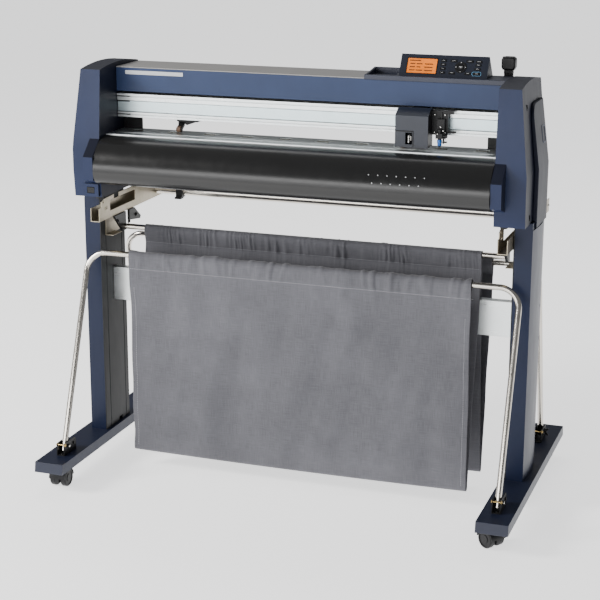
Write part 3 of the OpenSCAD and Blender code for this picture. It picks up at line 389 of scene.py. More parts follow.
def on_panel_face(centre, normal):
    """1 on the tilted face of the control panel."""
    return int(normal.y < -0.5 and normal.z > 0.3)


def behind_cover(centre, normal):
    """1 on the carriage's slider and back plate, 0 on its cover."""
    return int(centre.x > car_lo.x + COVER_END - 0.1 * MM or centre.y > car_lo.y + 47.5 * MM)


def off_cap(centre, normal):
    """1 above and below the tool's coloured cap."""
    return int(not pen_lo.z + 4.5 * MM <= centre.z <= pen_lo.z + 20.5 * MM)


dress("y_rail", MATS["aluminium"], RAIL_PANEL, pick=on_rail_panel)
# The side panels and the covers' side and top faces take the darker paint: painted shade
dress("side_panels", SHADED_SIDE)
for node_name in ("cover_left", "cover_right"):
    dress(node_name, MATS["slate_cover"], SHADED_SIDE, pick=on_painted_shade_face)
dress("electronics", MATS["board"], MATS["zinc_sheet"], MATS["black_plastic"], pick=inside_kind)
dress("panel_housing", MATS["navy_plastic"], FACE, pick=on_panel_face)
dress("carriage", CARRIAGE, MATS["black_plastic"], pick=behind_cover)
dress("tool_pen", MATS["tool_plastic"], MATS["black_plastic"], pick=off_cap)


# ---------------------------------------------------------------- mesh helpers
class Batch:
    """Collects many small shapes into one mesh."""

    def __init__(self):
        self.verts, self.faces = [], []

    def add(self, verts, faces):
        base = len(self.verts)
        self.verts += [tuple(v) for v in verts]
        self.faces += [tuple(base + i for i in f) for f in faces]

    def lathe(self, profile, origin, axis, n=24):
        """Turns (radius, height) points about axis; a point at radius 0 closes the end."""
        axis = Vector(axis).normalized()
        side = axis.orthogonal().normalized()
        other = axis.cross(side)
        rings, verts, faces = [], [], []
        for r, h in profile:
            ring = []
            for i in range(1 if r == 0 else n):
                a = 2 * math.pi * i / n
                verts.append(Vector(origin) + axis * h + (side * math.cos(a) + other * math.sin(a)) * r)
                ring.append(len(verts) - 1)
            rings.append(ring)
        for a, b in zip(rings, rings[1:]):
            for i in range(n):
                quad = [a[i % len(a)], a[(i + 1) % len(a)], b[(i + 1) % len(b)], b[i % len(b)]]
                quad = list(dict.fromkeys(quad))
                if len(quad) > 2:
                    faces.append(quad)
        self.add(verts, faces)

    def prism(self, outline, origin, u, v, depth):
        """A closed slab: outline in (u, v), pushed along u x v by depth."""
        u, v = Vector(u), Vector(v)
        w = u.cross(v).normalized() * depth
        low = [Vector(origin) + u * a + v * b for a, b in outline]
        n = len(outline)
        faces = [tuple(reversed(range(n))), tuple(range(n, 2 * n))]
        faces += [(i, (i + 1) % n, n + (i + 1) % n, n + i) for i in range(n)]
        self.add(low + [p + w for p in low], faces)

    def frame(self, outer, inner, back):
        """A flat ring between two closed lines of points, made thick by the vector back."""
        n = len(outer)
        front = [Vector(q) for q in (*outer, *inner)]
        faces = []
        for i in range(n):
            j = (i + 1) % n
            faces += [
                (i, j, n + j, n + i),
                (2 * n + j, 2 * n + i, 3 * n + i, 3 * n + j),
                (j, i, 2 * n + i, 2 * n + j),
                (n + i, n + j, 3 * n + j, 3 * n + i),
            ]
        self.add(front + [q + Vector(back) for q in front], faces)

    def tube(self, points, r, n=10):
        """A round bar along a line of points."""
        pts = [Vector(p) for p in points]
        verts, faces = [], []
        for k, p in enumerate(pts):
            t = (pts[min(k + 1, len(pts) - 1)] - pts[max(k - 1, 0)]).normalized()
            a = t.orthogonal().normalized() if k == 0 else (side - t * side.dot(t)).normalized()
            side = a
            b = t.cross(a)
            for i in range(n):
                turn = 2 * math.pi * i / n
                verts.append(p + (a * math.cos(turn) + b * math.sin(turn)) * r)
        for k in range(len(pts) - 1):
            for i in range(n):
                j = (i + 1) % n
                faces.append((k * n + i, k * n + j, (k + 1) * n + j, (k + 1) * n + i))
        faces += [tuple(reversed(range(n))), tuple(range((len(pts) - 1) * n, len(pts) * n))]
        self.add(verts, faces)

    def build(self, name, mat, body, bevel=0.0, slot=None):
        """Makes the piece; bevel is in millimetres."""
        mesh = bpy.data.meshes.new(name)
        mesh.from_pydata(self.verts, [], self.faces)
        bm = bmesh.new()
        bm.from_mesh(mesh)
        bmesh.ops.recalc_face_normals(bm, faces=bm.faces)
        bm.to_mesh(mesh)
        bm.free()
        mesh.materials.append(mat)
        obj = bpy.data.objects.new(name, mesh)
        bpy.context.scene.collection.objects.link(obj)
        mesh.shade_smooth()
        mesh.set_sharp_from_angle(angle=math.radians(38))
        if bevel:
            b = obj.modifiers.new("bevel", "BEVEL")
            b.width, b.segments, b.limit_method = bevel * MM, 2, "ANGLE"
            b.angle_limit = BEVEL_ANGLE
        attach(obj, body)
        return obj


def rounded(w, h, r, n=5):
    """Outline of a rounded rectangle, anticlockwise."""
    out = []
    for sx, sy, a0 in ((1, 1, 0), (-1, 1, 90), (-1, -1, 180), (1, -1, 270)):
        for i in range(n):
            a = math.radians(a0 + 90 * i / (n - 1))
            out.append((sx * (w / 2 - r) + r * math.cos(a), sy * (h / 2 - r) + r * math.sin(a)))
    return out


def screw(batch, at, normal, r, h=None):
    """A domed screw head with a socket in it."""
    h = h or r * 0.55
    dome = [(r, -0.4 * MM), (r, h * 0.35), (r * 0.86, h * 0.8), (r * 0.6, h)]
    socket = [(r * 0.5, h), (r * 0.42, h * 0.35), (0, h * 0.3)]
    batch.lathe(dome + socket, at, normal, 18)


def hex_bolt(batch, at, normal, r, h):
    """A washer and a hexagon head with a chamfered top."""
    washer = [(r * 1.45, -0.3 * MM), (r * 1.45, h * 0.18), (r * 1.35, h * 0.25), (0, h * 0.25)]
    batch.lathe(washer, at, normal, 24)
    batch.lathe([(r, h * 0.2), (r, h * 0.9), (r * 0.86, h), (0, h)], at, normal, 6)


def wing_bolt(batch, at, normal, up, r):
    """A hand screw with two wings."""
    n, u = Vector(normal).normalized(), Vector(up).normalized()
    s = n.cross(u)
    batch.lathe([(r, -0.0003), (r * 1.05, r * 0.7), (r * 0.8, r * 1.5), (0, r * 1.6)], at, n, 16)
    for k in (-1, 1):
        wing = ((0.4, 0.2), (1.6, 0.5), (2.6, 1.6), (2.4, 2.6), (1.5, 2.4), (0.5, 1.3))
        pts = [(a * r, b * r) for a, b in wing]
        if k < 0:
            pts = [(-a, b) for a, b in reversed(pts)]
        batch.prism(pts, Vector(at) - s * r * 0.28, u, n, -0.56 * r)


# ---------------------------------------------------------------- cloth
def resample(points, step):
    """Evenly spaced points along a polyline, with the running length."""
    pts = np.array(points, float)
    seg = np.linalg.norm(np.diff(pts, axis=0), axis=1)
    run = np.concatenate([[0], np.cumsum(seg)])
    n = max(2, int(round(run[-1] / step)) + 1)
    s = np.linspace(0, run[-1], n)
    return np.stack([np.interp(s, run, pts[:, 0]), np.interp(s, run, pts[:, 1])], 1), s


def arc(centre, r, a0, a1, n=14):
    """Points (y, z) on an arc, angles in degrees from +Y towards +Z."""
    turns = [math.radians(a0 + (a1 - a0) * i / (n - 1)) for i in range(n)]
    return [(centre[0] + r * math.cos(a), centre[1] + r * math.sin(a)) for a in turns]


def smooth_step(x, lo, hi):
    """0 below lo, 1 above hi and an S curve between."""
    t = np.clip((x - lo) / (hi - lo), 0, 1)
    return t * t * (3 - 2 * t)


# Depth of the sewn sleeves, and of the slack that the cloth leaves round a bar
HEM = 40 * MM
SLACK = 2.6 * MM
HALF_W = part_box("bag_middle")[1].x
rod_lo, rod_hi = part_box("middle_rod")
ROD = ((rod_lo.y + rod_hi.y) / 2, (rod_lo.z + rod_hi.z) / 2)
BAR_R = (rod_hi.z - rod_lo.z) / 2
WRAP = BAR_R + SLACK


FOLD_R = 9 * MM
PATH_STEP = 3.6 * MM
COLUMNS = 430
THICKNESS = 0.9 * MM


def bar_centre(node):
    """(y, z) of the top bar of a basket tube."""
    lo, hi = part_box(node)
    inward = hi.y if node == "front_tube" else lo.y
    return (inward + (-BAR_R if node == "front_tube" else BAR_R), hi.z - BAR_R)


def bag_piece(name, bar, foot, side):
    """One half of the cloth, from the hem at its bar down to the fold and up to the middle rod.
    side is -1 for the front half and 1 for the rear one."""
    outer = bar[0] + side * WRAP
    fold_r = FOLD_R

    def flip(a):
        return a if side > 0 else 180 - a

    path = [(outer - side * 0.0018, bar[1] - HEM), (outer - side * 0.0022, bar[1] - HEM * 0.8)]
    path += arc(bar, WRAP, flip(205), flip(0), 22)
    path += [(outer, bar[1] - 0.01)]
    path += [(foot[0] + side * fold_r, foot[1] + fold_r + 0.012)]
    path += arc((foot[0], foot[1] + fold_r), fold_r, flip(0), flip(-180), 16)
    path += [(foot[0] - side * fold_r, foot[1] + fold_r + 0.012)]
    path += [(ROD[0] + side * 0.0012, ROD[1] - HEM), (ROD[0] + side * 0.002, ROD[1] - HEM * 0.85)]
    path += arc(ROD, WRAP, flip(-25), flip(90), 14)
    pts, run = resample(path, PATH_STEP)
    for _ in range(2):
        pts[1:-1] = pts[1:-1] * 0.5 + (pts[:-2] + pts[2:]) * 0.25
    tangent = np.gradient(pts, axis=0)
    tangent /= np.linalg.norm(tangent, axis=1)[:, None]
    normal = np.stack([-tangent[:, 1], tangent[:, 0]], 1) * side
    total = run[-1]
    hem_top = HEM + math.radians(205) * WRAP
    seam_a = hem_top + HEM - 0.004
    rod_seam = total - math.radians(115) * WRAP - HEM * 0.9
    bottom = run[np.argmin(pts[:, 1])]
    nx = COLUMNS
    xs = np.linspace(-HALF_W, HALF_W, nx)
    verts = np.zeros((nx, len(pts), 3))
    seed = 3.1 if side < 0 else 8.7

    def rise(lo, hi):
        return smooth_step(run, lo, hi)

    # Broad folds hang from the stitched hem; gathers crowd the sleeve itself
    on_sheet = rise(seam_a, seam_a + 0.10) * (1 - rise(bottom - 0.07, bottom - 0.01))
    on_inner = rise(bottom + 0.02, bottom + 0.12) * (1 - rise(rod_seam - 0.08, rod_seam))
    hem_zone = rise(HEM * 0.4, HEM + 0.01) * (1 - 0.75 * rise(seam_a - 0.006, seam_a + 0.004))
    hem_zone *= 1 - rise(seam_a, seam_a + 0.09)
    rod_zone = rise(rod_seam - 0.08, rod_seam) * (1 - rise(total - 0.012, total - 0.002))
    rod_zone *= 0.25 + 0.75 * rise(rod_seam - 0.004, rod_seam + 0.006)
    ridge = rise(HEM, HEM + 0.02) * (1 - rise(seam_a + 0.001, seam_a + 0.005))
    ridge -= rise(rod_seam - 0.005, rod_seam - 0.001) * (1 - rise(total - 0.03, total - 0.01))
    dip = np.exp(-(((run - seam_a) / 0.0016) ** 2)) - np.exp(-(((run - rod_seam) / 0.0016) ** 2))
    for i, x in enumerate(xs):
        near_edge = smooth_step(abs(x), HALF_W - 0.035, HALF_W)
        lean = 26 * noise.noise(Vector((x * 7, seed, 2.0)))
        for k in range(len(pts)):
            s = run[k]
            broad = noise.noise(Vector((x * 4.6 + 1.2 * (s - 0.3), s * 1.5, seed))) * 0.0095
            mid = noise.noise(Vector((x * 12 + s * 3.2, s * 2.6 - x * 2, seed + 4))) * 0.0085
            slant = noise.noise(Vector((x * 5 + s * 7.5, s * 5 - x * 4.5, seed + 9))) * 0.0075
            small = noise.noise(Vector((x * 31 + s * 9, s * 8, seed + 12))) * 0.0018
            d = (broad + mid + slant + small) * on_sheet[k]
            d += (0.45 * broad + 0.7 * mid + small) * on_inner[k]
            curl = noise.noise(Vector((s * 6.0, x * 2, seed + 20)))
            d += 0.0040 * near_edge * curl * (on_sheet[k] + on_inner[k])
            zone = hem_zone[k] + rod_zone[k]
            if zone > 0:
                crowd = 0.45 + 0.9 * max(0.0, noise.noise(Vector((x * 11, s * 9, seed + 2))) + 0.3)
                fine = noise.noise(Vector((x * 62 + s * lean, s * 16, seed)))
                long = noise.noise(Vector((x * 27 + s * lean * 0.6, s * 7, seed + 6)))
                ripple = crowd * (0.0062 * fine + 0.0064 * long)
                lift = max(-0.0002, ripple + 0.0006) + 0.0004
                d += (hem_zone[k] - rod_zone[k]) * lift
            d += 0.0011 * ridge[k] - 0.0012 * dip[k]
            sag = -0.004 * (1 - (x / HALF_W) ** 2)
            sag *= smooth_step(s, seam_a, bottom) * (1 - smooth_step(s, bottom, rod_seam))
            pulled = near_edge * noise.noise(Vector((x * 3, s * 4, seed + 1))) ** 2
            verts[i, k] = (
                x - math.copysign(0.0035, x) * pulled,
                pts[k, 0] + normal[k, 0] * d,
                pts[k, 1] + normal[k, 1] * d + sag,
            )
    m = len(pts)
    faces = [
        (i * m + k, (i + 1) * m + k, (i + 1) * m + k + 1, i * m + k + 1)
        for i in range(nx - 1)
        for k in range(m - 1)
    ]
    mesh = bpy.data.meshes.new(name)
    mesh.from_pydata(verts.reshape(-1, 3).tolist(), [], faces)
    uv = mesh.uv_layers.new(name="flat")
    loop_verts = np.zeros(len(mesh.loops), int)
    mesh.loops.foreach_get("vertex_index", loop_verts)
    flat = np.stack([np.repeat(xs, m), np.tile(run, nx)], 1)
    uv.data.foreach_set("uv", flat[loop_verts].astype(np.float32).ravel())
    mesh.materials.append(MATS["cloth"])
    mesh.shade_smooth()
    obj = bpy.data.objects.new(name, mesh)
    bpy.context.scene.collection.objects.link(obj)
    solid = obj.modifiers.new("thickness", "SOLIDIFY")
    solid.thickness = THICKNESS
    solid.offset = 0
    marks = {"seam": seam_a, "rod_seam": rod_seam, "total": total, "bottom": bottom}
    return obj, verts, run, normal, marks


STITCH = 5.6 * MM
STITCH_GAP = 1.4 * MM
STITCH_LIFT = 0.6 * MM
THREAD_R = 0.55 * MM


def stitches(name, line, outward, body):
    """Sewn thread along a line of points: short beads that dip in and out of the cloth."""
    pts = np.array(line)
    seg = np.linalg.norm(np.diff(pts, axis=0), axis=1)
    run = np.concatenate([[0], np.cumsum(seg)])
    batch = Batch()
    out = Vector(outward)
    dip, lift = out * -0.2 * MM, out * STITCH_LIFT
    margin = 4 * MM
    at = margin
    while at + STITCH < run[-1] - margin:
        ends = [at, at + (STITCH - STITCH_GAP) * 0.5, at + STITCH - STITCH_GAP]
        a, b, c = (Vector([np.interp(e, run, pts[:, j]) for j in range(3)]) for e in ends)
        bead = [a + dip, a * 0.7 + b * 0.3 + lift, b + lift, c * 0.7 + b * 0.3 + lift, c + dip]
        batch.tube(bead, THREAD_R, 5)
        at += STITCH
    return batch.build(name, THREAD, body)


front_bar = bar_centre("front_tube")
rear_bar = bar_centre("rear_tube")
# Where each half's fold hangs
FOLD_Y = {-1: -119 * MM, 1: 52 * MM}
FOLD_Z = {-1: 49 * MM, 1: 42 * MM}
for tag, side, bar, body, node in (
    ("front", -1, front_bar, "front_bar", "bag_front"),
    ("rear", 1, rear_bar, "rear_bar", "bag_rear"),
):
    cloth, grid, run, normal, marks = bag_piece("cloth_" + tag, bar, (FOLD_Y[side], FOLD_Z[side]), side)
    if side < 0:
        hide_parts(node, "bag_middle")
    else:
        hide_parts(node)
    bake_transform(cloth)
    k = int(np.argmin(abs(run - marks["seam"])))
    out = (0, float(normal[k, 0]), float(normal[k, 1]))
    hem_line = stitches(tag + "_hem_stitches", grid[:, k], out, body)
    k2 = int(np.argmin(abs(run - marks["rod_seam"])))
    out2 = (0, -float(normal[k2, 0]), -float(normal[k2, 1]))
    rod_line = stitches(tag + "_rod_stitches", grid[:, k2], out2, "stand")
    for tag2, col in (("l", 6), ("r", len(grid) - 7)):
        span = grid[col, k + 14 : int(np.argmin(abs(run - marks["bottom"]))) - 4]
        line = stitches(tag + "_side_stitches_" + tag2, span, out, "stand")
        line.parent = None
        line.matrix_world = Matrix.Identity(4)
        if "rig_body" in line:
            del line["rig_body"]
        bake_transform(line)


# ---------------------------------------------------------------- fittings
# Position dots on the front guide
apron_lo, apron_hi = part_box("apron")
guide_r = 88 * MM
guide_c = (apron_lo.y + guide_r, apron_hi.z - guide_r)


def guide_point(x, z):
    """The point on the round front guide at x and z, and its outward direction."""
    a = math.asin(min(1.0, (z - guide_c[1]) / guide_r))
    n = Vector((0, -math.cos(a), math.sin(a)))
    return Vector((x, *guide_c)) + n * guide_r, n


DOT = [(1.4 * MM, -0.2 * MM), (1.4 * MM, 0.15 * MM), (1.2 * MM, 0.2 * MM), (0, 0.2 * MM)]
DOT_PITCH = 24.5 * MM
dots = Batch()
for count, first_x, z in ((7, 0.229, 0.9155), (6, 0.240, 0.896)):
    for i in range(count):
        p, n = guide_point(first_x + DOT_PITCH * i, z)
        dots.lathe(DOT, p, n, 14)
dots.build("guide_dots", WHITE, "stand")

# Blank light strip on the fascia
fascia_lo, fascia_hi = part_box("fascia")
strip = Batch()
strip_at = (fascia_lo.x + 114 * MM, fascia_lo.y - 0.4 * MM, fascia_hi.z - 12.3 * MM)
strip.prism(rounded(0.172, 0.0105, 0.002, 5), strip_at, EAST, UP, 0.8 * MM)
strip.build("fascia_strip", PALE, "stand", 0.15)

# Printed marks on the control panel's face
face_lo, face_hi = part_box("panel_housing")
foot_pt = Vector((0, face_lo.y, face_lo.z))
top_pt = Vector((0, face_lo.y + 0.031, face_hi.z))
face_v = (top_pt - foot_pt).normalized()
face_n = Vector((0, -face_v.z, face_v.y))


def on_face(x, v, lift=0.0):
    """The point at x and at v up the control panel's tilted face."""
    return Vector((x, foot_pt.y, foot_pt.z)) + face_v * v + face_n * lift


def face_mark(batch, outline, x, v, lift, depth):
    """A thin printed shape whose outer side lies at lift over the face."""
    batch.prism(outline, on_face(x, v, lift - depth), (1, 0, 0), face_v, depth)


lcd_frame = Batch()
for w, h, x, v in ((0.082, 0.0022, 0.315, 0.0073), (0.082, 0.0022, 0.315, 0.0508)):
    face_mark(lcd_frame, rounded(w, h, 0.0009, 4), x, v, 0.0009, 0.0016)
for x in (0.2748, 0.3552):
    face_mark(lcd_frame, rounded(0.0022, 0.0445, 0.0009, 4), x, 0.029, 0.0009, 0.0016)
lcd_frame.build("display_frame", MATS["black_plastic"], "stand", 0.25)
ink = Batch()
for v, spans in (
    (0.0435, ((0.296, 0.030),)),
    (0.0345, ((0.290, 0.014), (0.308, 0.016), (0.333, 0.022))),
    (0.0255, ((0.290, 0.014), (0.306, 0.010), (0.333, 0.022))),
    (0.0165, ((0.290, 0.014), (0.309, 0.018), (0.333, 0.022))),
):
    for x, w in spans:
        face_mark(ink, rounded(w, 0.0030, 0.0006, 3), x, v, 0.00005, 0.0003)
ink.build("display_rows", INK, "stand")


def islands(node):
    """Centres of the separate bodies in a CAD node, from left to right and from below."""
    bm = bmesh.new()
    bm.from_mesh(NODES[node].data)
    bmesh.ops.remove_doubles(bm, verts=bm.verts, dist=0.00001)
    seen, centres = set(), []
    for v in bm.verts:
        if v.index in seen:
            continue
        stack, group = [v], []
        while stack:
            w = stack.pop()
            if w.index in seen:
                continue
            seen.add(w.index)
            group.append(w.co.copy())
            stack += [e.other_vert(w) for e in w.link_edges if e.other_vert(w).index not in seen]
        centres.append(sum(group, Vector()) / len(group))
    bm.free()
    return sorted(centres, key=lambda p: (round(p.x, 3), p.z))


KEY_TOP = 1.2 * MM
for name, body, dash in (
    ("soft_keys", "soft_key_set", 5.2 * MM),
    ("function_keys", "function_key_set", 7.8 * MM),
):
    for k, c in enumerate(islands(name)):
        v = (c - foot_pt).dot(face_v)
        mark = Batch()
        face_mark(mark, rounded(dash, 0.0007, 0.0003, 3), c.x, v + 0.0003, KEY_TOP + 0.0001, 0.0003)
        mark.build(f"{name}_mark_{k}", WHITE, body)
enter_lo, enter_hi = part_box("enter_key")
pad_x = (enter_lo.x + enter_hi.x) / 2
pad_v = 29.2 * MM
arrows = Batch()
for a in range(4):
    t = math.radians(90 * a)
    cx, cv = pad_x + 12.6 * MM * math.cos(t), pad_v + 12.6 * MM * math.sin(t)
    tri = [(math.cos(t + q) * 0.0017, math.sin(t + q) * 0.0017) for q in (0, 2.1, -2.1)]
    face_mark(arrows, tri, cx, cv, 0.0013, 0.0003)
arrows.build("arrow_marks", WHITE, "arrow_ring_key")
enter = Batch()
face_mark(enter, rounded(0.0085, 0.0012, 0.0005, 3), pad_x, pad_v + 0.001, 0.0017, 0.0003)
face_mark(enter, rounded(0.0050, 0.0010, 0.0004, 3), pad_x, pad_v - 0.0016, 0.0017, 0.0003)
enter.build("enter_mark", WHITE, "enter_button")
halo = Batch()
halo_lines = [
    [on_face(0.4615 + a, 0.0125 + b, 0.00025) for a, b in rounded(w, h, r, 6)]
    for w, h, r in ((0.0245, 0.0118, 0.0045), (0.0225, 0.0100, 0.0038))
]
halo.frame(*halo_lines, face_n * -0.4 * MM)
halo.build("pause_ring_print", SKY, "stand")

# Screws and bolts
bright, dark_screws, gold, wings = Batch(), Batch(), Batch(), Batch()
arm_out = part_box("stocker_arms")[1].x
plate_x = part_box("arm_gussets")[1].x - 7 * MM
foot_lo, foot_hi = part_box("foot_right")
foot_x = (foot_lo.x + foot_hi.x) / 2
bracket_x = foot_x - 4 * MM
# (y of the pivot bolt, direction towards the machine) for the front and the rear bracket
PIVOTS = ((-0.314, 1), (0.258, -1))
PIVOT_Z = 0.112
for s in (-1, 1):
    outward = (s, 0, 0)
    for y, z in ((-0.062, 0.705), (0.010, 0.690), (0.060, 0.700)):
        hex_bolt(dark_screws, (s * plate_x, y, z), (-s, 0, 0), 0.0045, 0.004)
    face_x = s * (arm_out - 0.6 * MM)
    for y in (-0.055, 0.030):
        hex_bolt(bright, (face_x, y, 0.738), outward, 0.005, 0.0045)
    for y in (0.246, 0.392):
        screw(bright, (face_x, y, 0.741), outward, 0.004)
    for y in (-0.085, -0.020, 0.040):
        hex_bolt(bright, (s * foot_x, y, foot_lo.z), (0, 0, -1), 0.006, 0.004)
    xb = s * bracket_x
    for pivot_y, d in PIVOTS:
        bolt_y, bolt_z = pivot_y + d * 11.5 * MM - 30 * MM, PIVOT_Z + 7.5 * MM
        gold.tube([(xb + e * 13.5 * MM, bolt_y, bolt_z) for e in (-1, 1)], 2.2 * MM, 12)
        for e in (-1, 1):
            hex_bolt(gold, (xb + e * 11.7 * MM, bolt_y, bolt_z), (e, 0, 0), 0.0034, 0.0028)
            screw(bright, (xb + e * 15.8 * MM, pivot_y, PIVOT_Z), (e, 0, 0), 0.0042, 0.0014)
    wing_at = (xb + s * 14.4 * MM, PIVOTS[1][0] - 10 * MM, PIVOT_Z - 1 * MM)
    wing_bolt(wings, wing_at, outward, (0, 0.2, 1), 0.0042)
bright.build("bright_fasteners", CHROME, "stand")
dark_screws.build("dark_fasteners", MATS["black_metal"], "stand")
gold.build("bracket_cross_bolts", BRASS, "stand")
wings.build("wing_bolts", MATS["black_plastic"], "stand")

# Mechanism behind the carriage window, the edge of its recess and the tool clamp
front_y = car_lo.y
edge_lines, inner_bits, clamp, cap = Batch(), Batch(), Batch(), Batch()
recess_x, recess_top, recess_low = car_lo.x + 47.5 * MM, car_lo.z + 40 * MM, car_lo.z + 1.5 * MM
LIP_W, LIP_H = 1.5 * MM, 2.2 * MM
lip = [
    (car_lo.x + 0.2 * MM, recess_top),
    (recess_x, recess_top),
    (recess_x, recess_low),
    (recess_x + LIP_W, recess_low),
    (recess_x + LIP_W, recess_top + LIP_H),
    (car_lo.x + 0.2 * MM, recess_top + LIP_H),
]
edge_lines.prism(lip, (0, front_y + 0.6 * MM, 0), EAST, UP, 0.9 * MM)
for x, z, pin_r, h in ((34, 11, 3.0, 20), (40.5, 17, 1.8, 12)):
    steps = ((1, 0), (1, 0.2), (0.7, 0.25), (0.7, 0.5), (1, 0.55), (1, 0.9), (0, 1))
    profile = [(pin_r * MM * a, h * MM * b) for a, b in steps]
    inner_bits.lathe(profile, (car_lo.x + x * MM, front_y + 10 * MM, car_lo.z + z * MM), UP, 16)
SPRING_R = 2.4 * MM
coil = [
    (
        car_lo.x + 36 * MM + SPRING_R * math.cos(a * 0.9),
        front_y + 12 * MM + SPRING_R * math.sin(a * 0.9),
        car_lo.z + 10 * MM + a * 0.6 * MM,
    )
    for a in range(40)
]
inner_bits.tube(coil, 0.5 * MM, 6)
edge_lines.build("carriage_recess_edge", MATS["black_plastic"], "carriage_body")
inner_bits.build("carriage_window_parts", CHROME, "carriage_body")

# Fluted knob, lever and blocks of the tool clamp, ring of the tool's cap
tool_x, tool_y, tool_z = (pen_lo.x + pen_hi.x) / 2, (pen_lo.y + pen_hi.y) / 2, pen_lo.z
KNOB_R = 7.4 * MM
flutes = []
for k in range(40):
    radius, turn = KNOB_R * (1 + 0.05 * (k % 2)), math.pi * k / 20
    flutes.append((radius * math.cos(turn), radius * math.sin(turn)))
clamp.prism(flutes, (tool_x, tool_y, tool_z + 24.5 * MM), EAST, NORTH, 5 * MM)
clamp.tube(
    [
        (tool_x + 6 * MM, tool_y, tool_z + 27 * MM),
        (tool_x + 13 * MM, tool_y - 2 * MM, tool_z + 25 * MM),
        (tool_x + 17.5 * MM, tool_y - 2 * MM, tool_z + 22.5 * MM),
    ],
    1.3 * MM, 10,
)
for w, h, dx, dz, depth in ((12, 3.5, 13.5, 14.5, 6), (4, 17, 10, 18.5, 5)):
    block_at = (tool_x + dx * MM, tool_y + 4 * MM, tool_z + dz * MM)
    clamp.prism(rounded(w * MM, h * MM, 1 * MM, 4), block_at, EAST, UP, depth * MM)
clamp.build("tool_clamp_details", MATS["black_metal"], "tool", 0.2)
ring = ((5.7, 10.8), (6.3, 11.5), (6.3, 19.5), (5.7, 20.6), (5.2, 20.6), (5.2, 10.8), (5.7, 10.8))
cap.lathe([(a * MM, tool_z + b * MM) for a, b in ring], (tool_x, tool_y, 0), UP, 12)
cap.build("tool_cap_ring", MATS["tool_plastic"], "tool", 0.15, slot="tool_plastic")
tool_screws, plate_screws = Batch(), Batch()
holder_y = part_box("tool_holder")[0].y
for dx, dz in ((-4, 36), (4, 54), (11.5, 45)):
    at = (tool_x + dx * MM, holder_y + 0.2 * MM, tool_z + dz * MM)
    screw(tool_screws, at, (0, -1, 0), 1.8 * MM)
tool_screws.build("tool_holder_screws", CHROME, "tool")
plate_y = front_y + 35.2 * MM
for dx, dz in ((96, 83), (123, 83), (96, 37), (124, 36.5)):
    screw(plate_screws, (car_lo.x + dx * MM, plate_y, car_lo.z + dz * MM), (0, -1, 0), 2.2 * MM)
plate_screws.build("carriage_plate_screws", CHROME, "carriage_body")

# Rounded grip of the set lever
lever_lo, lever_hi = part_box("set_lever")
grip = Batch()
grip_at = (lever_hi.x - 21 * MM, lever_lo.y + 26 * MM, lever_hi.z - 17.2 * MM)
grip.prism(rounded(0.037, 0.034, 0.009, 7), grip_at, EAST, UP, 29 * MM)
grip.build("set_lever_grip", MATS["black_plastic"], "lever", 4.0, slot="black_plastic")

# Plugs over the cover screws, near-black and glossless as painted shade of their recesses, and black ends
# in the rail's grooves
cover_lo, cover_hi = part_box("cover_right")
PLUG_Y = cover_lo.y + 104 * MM
plugs = Batch()
for s in (-1, 1):
    cover = NODES["cover_left" if s < 0 else "cover_right"]
    into = cover.matrix_world.inverted()
    inward = into.to_3x3() @ Vector((-s, 0, 0))
    for z in (cover_hi.z - 61.5 * MM, cover_lo.z + 18 * MM):
        hit, spot, _, _ = cover.ray_cast(into @ Vector((s, PLUG_Y, z)), inward)
        if hit:
            at = cover.matrix_world @ spot
            plug_at = (at.x + s * 0.9 * MM, at.y, z)
            plugs.prism(rounded(0.0075, 0.0150, 0.002, 5), plug_at, (0, s, 0), UP, -2.2 * MM)
            screw(plugs, (at.x + s * 0.6 * MM, at.y, z), (s, 0, 0), 2.2 * MM)
plugs.build("cover_plugs", SHADOW, "stand", 0.3)
ends = Batch()
end_x, end_y = rail_lo.x + 19 * MM, rail_lo.y + 7.5 * MM
for z, w in (
    (rail_hi.z - 7.5 * MM, 2.4 * MM),
    (rail_hi.z - 21.5 * MM, 2 * MM),
    (rail_lo.z + 7.5 * MM, 2.4 * MM),
):
    ends.prism(rounded(0.036, w, w * 0.4, 4), (end_x, end_y, z), EAST, UP, 7.2 * MM)
ends.build("rail_groove_ends", MATS["black_plastic"], "stand")

# Rear: screws of the wall and trough, blank plate and sockets on the left cover
rear_lo, rear_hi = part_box("top_plate")
wall_rear, cover_rear, trough_rear = rear_hi.y, cover_hi.y, 60 * MM
SCREW_PITCH = 165 * MM
PROUD = 0.2 * MM
rear_screws, ports, plate, pins = Batch(), Batch(), Batch(), Batch()
for k in range(-3, 4):
    for z in (rear_hi.z - 13 * MM, rear_lo.z + 10 * MM):
        # The wall is notched for the set lever at the last place of the upper row
        if not (k == 3 and z > (rear_lo.z + rear_hi.z) / 2):
            screw(rear_screws, (k * SCREW_PITCH, wall_rear - PROUD, z), NORTH, 3.6 * MM)
    screw(rear_screws, (k * SCREW_PITCH, trough_rear - PROUD, 0.934), NORTH, 3.6 * MM)
for s in (-1, 1):
    for z in (0.812, 0.960, 1.095):
        screw(rear_screws, (s * 0.600, cover_rear - PROUD, z), NORTH, 3.4 * MM)
port_x = -cover_hi.x + 43 * MM
for z, w, h in ((0.900, 0.016, 0.013), (0.926, 0.018, 0.015)):
    lines = [
        [(port_x + a, cover_rear + 1.2 * MM, z + b) for a, b in outline]
        for outline in (rounded(w + 0.006, h + 0.006, 0.002, 5), rounded(w, h, 0.001, 5))
    ]
    ports.frame(*lines, (0, -2.4 * MM, 0))
    tongue = rounded(w * 0.7, h * 0.3, 0.0008, 4)
    pins.prism(tongue, (port_x, cover_rear + 0.4 * MM, z), WEST, UP, 0.8 * MM)
rear_screws.build("rear_screws", CHROME, "stand")
ports.build("rear_socket_frames", MATS["black_plastic"], "stand", 0.3)
pins.build("rear_socket_tongues", CHROME, "stand")
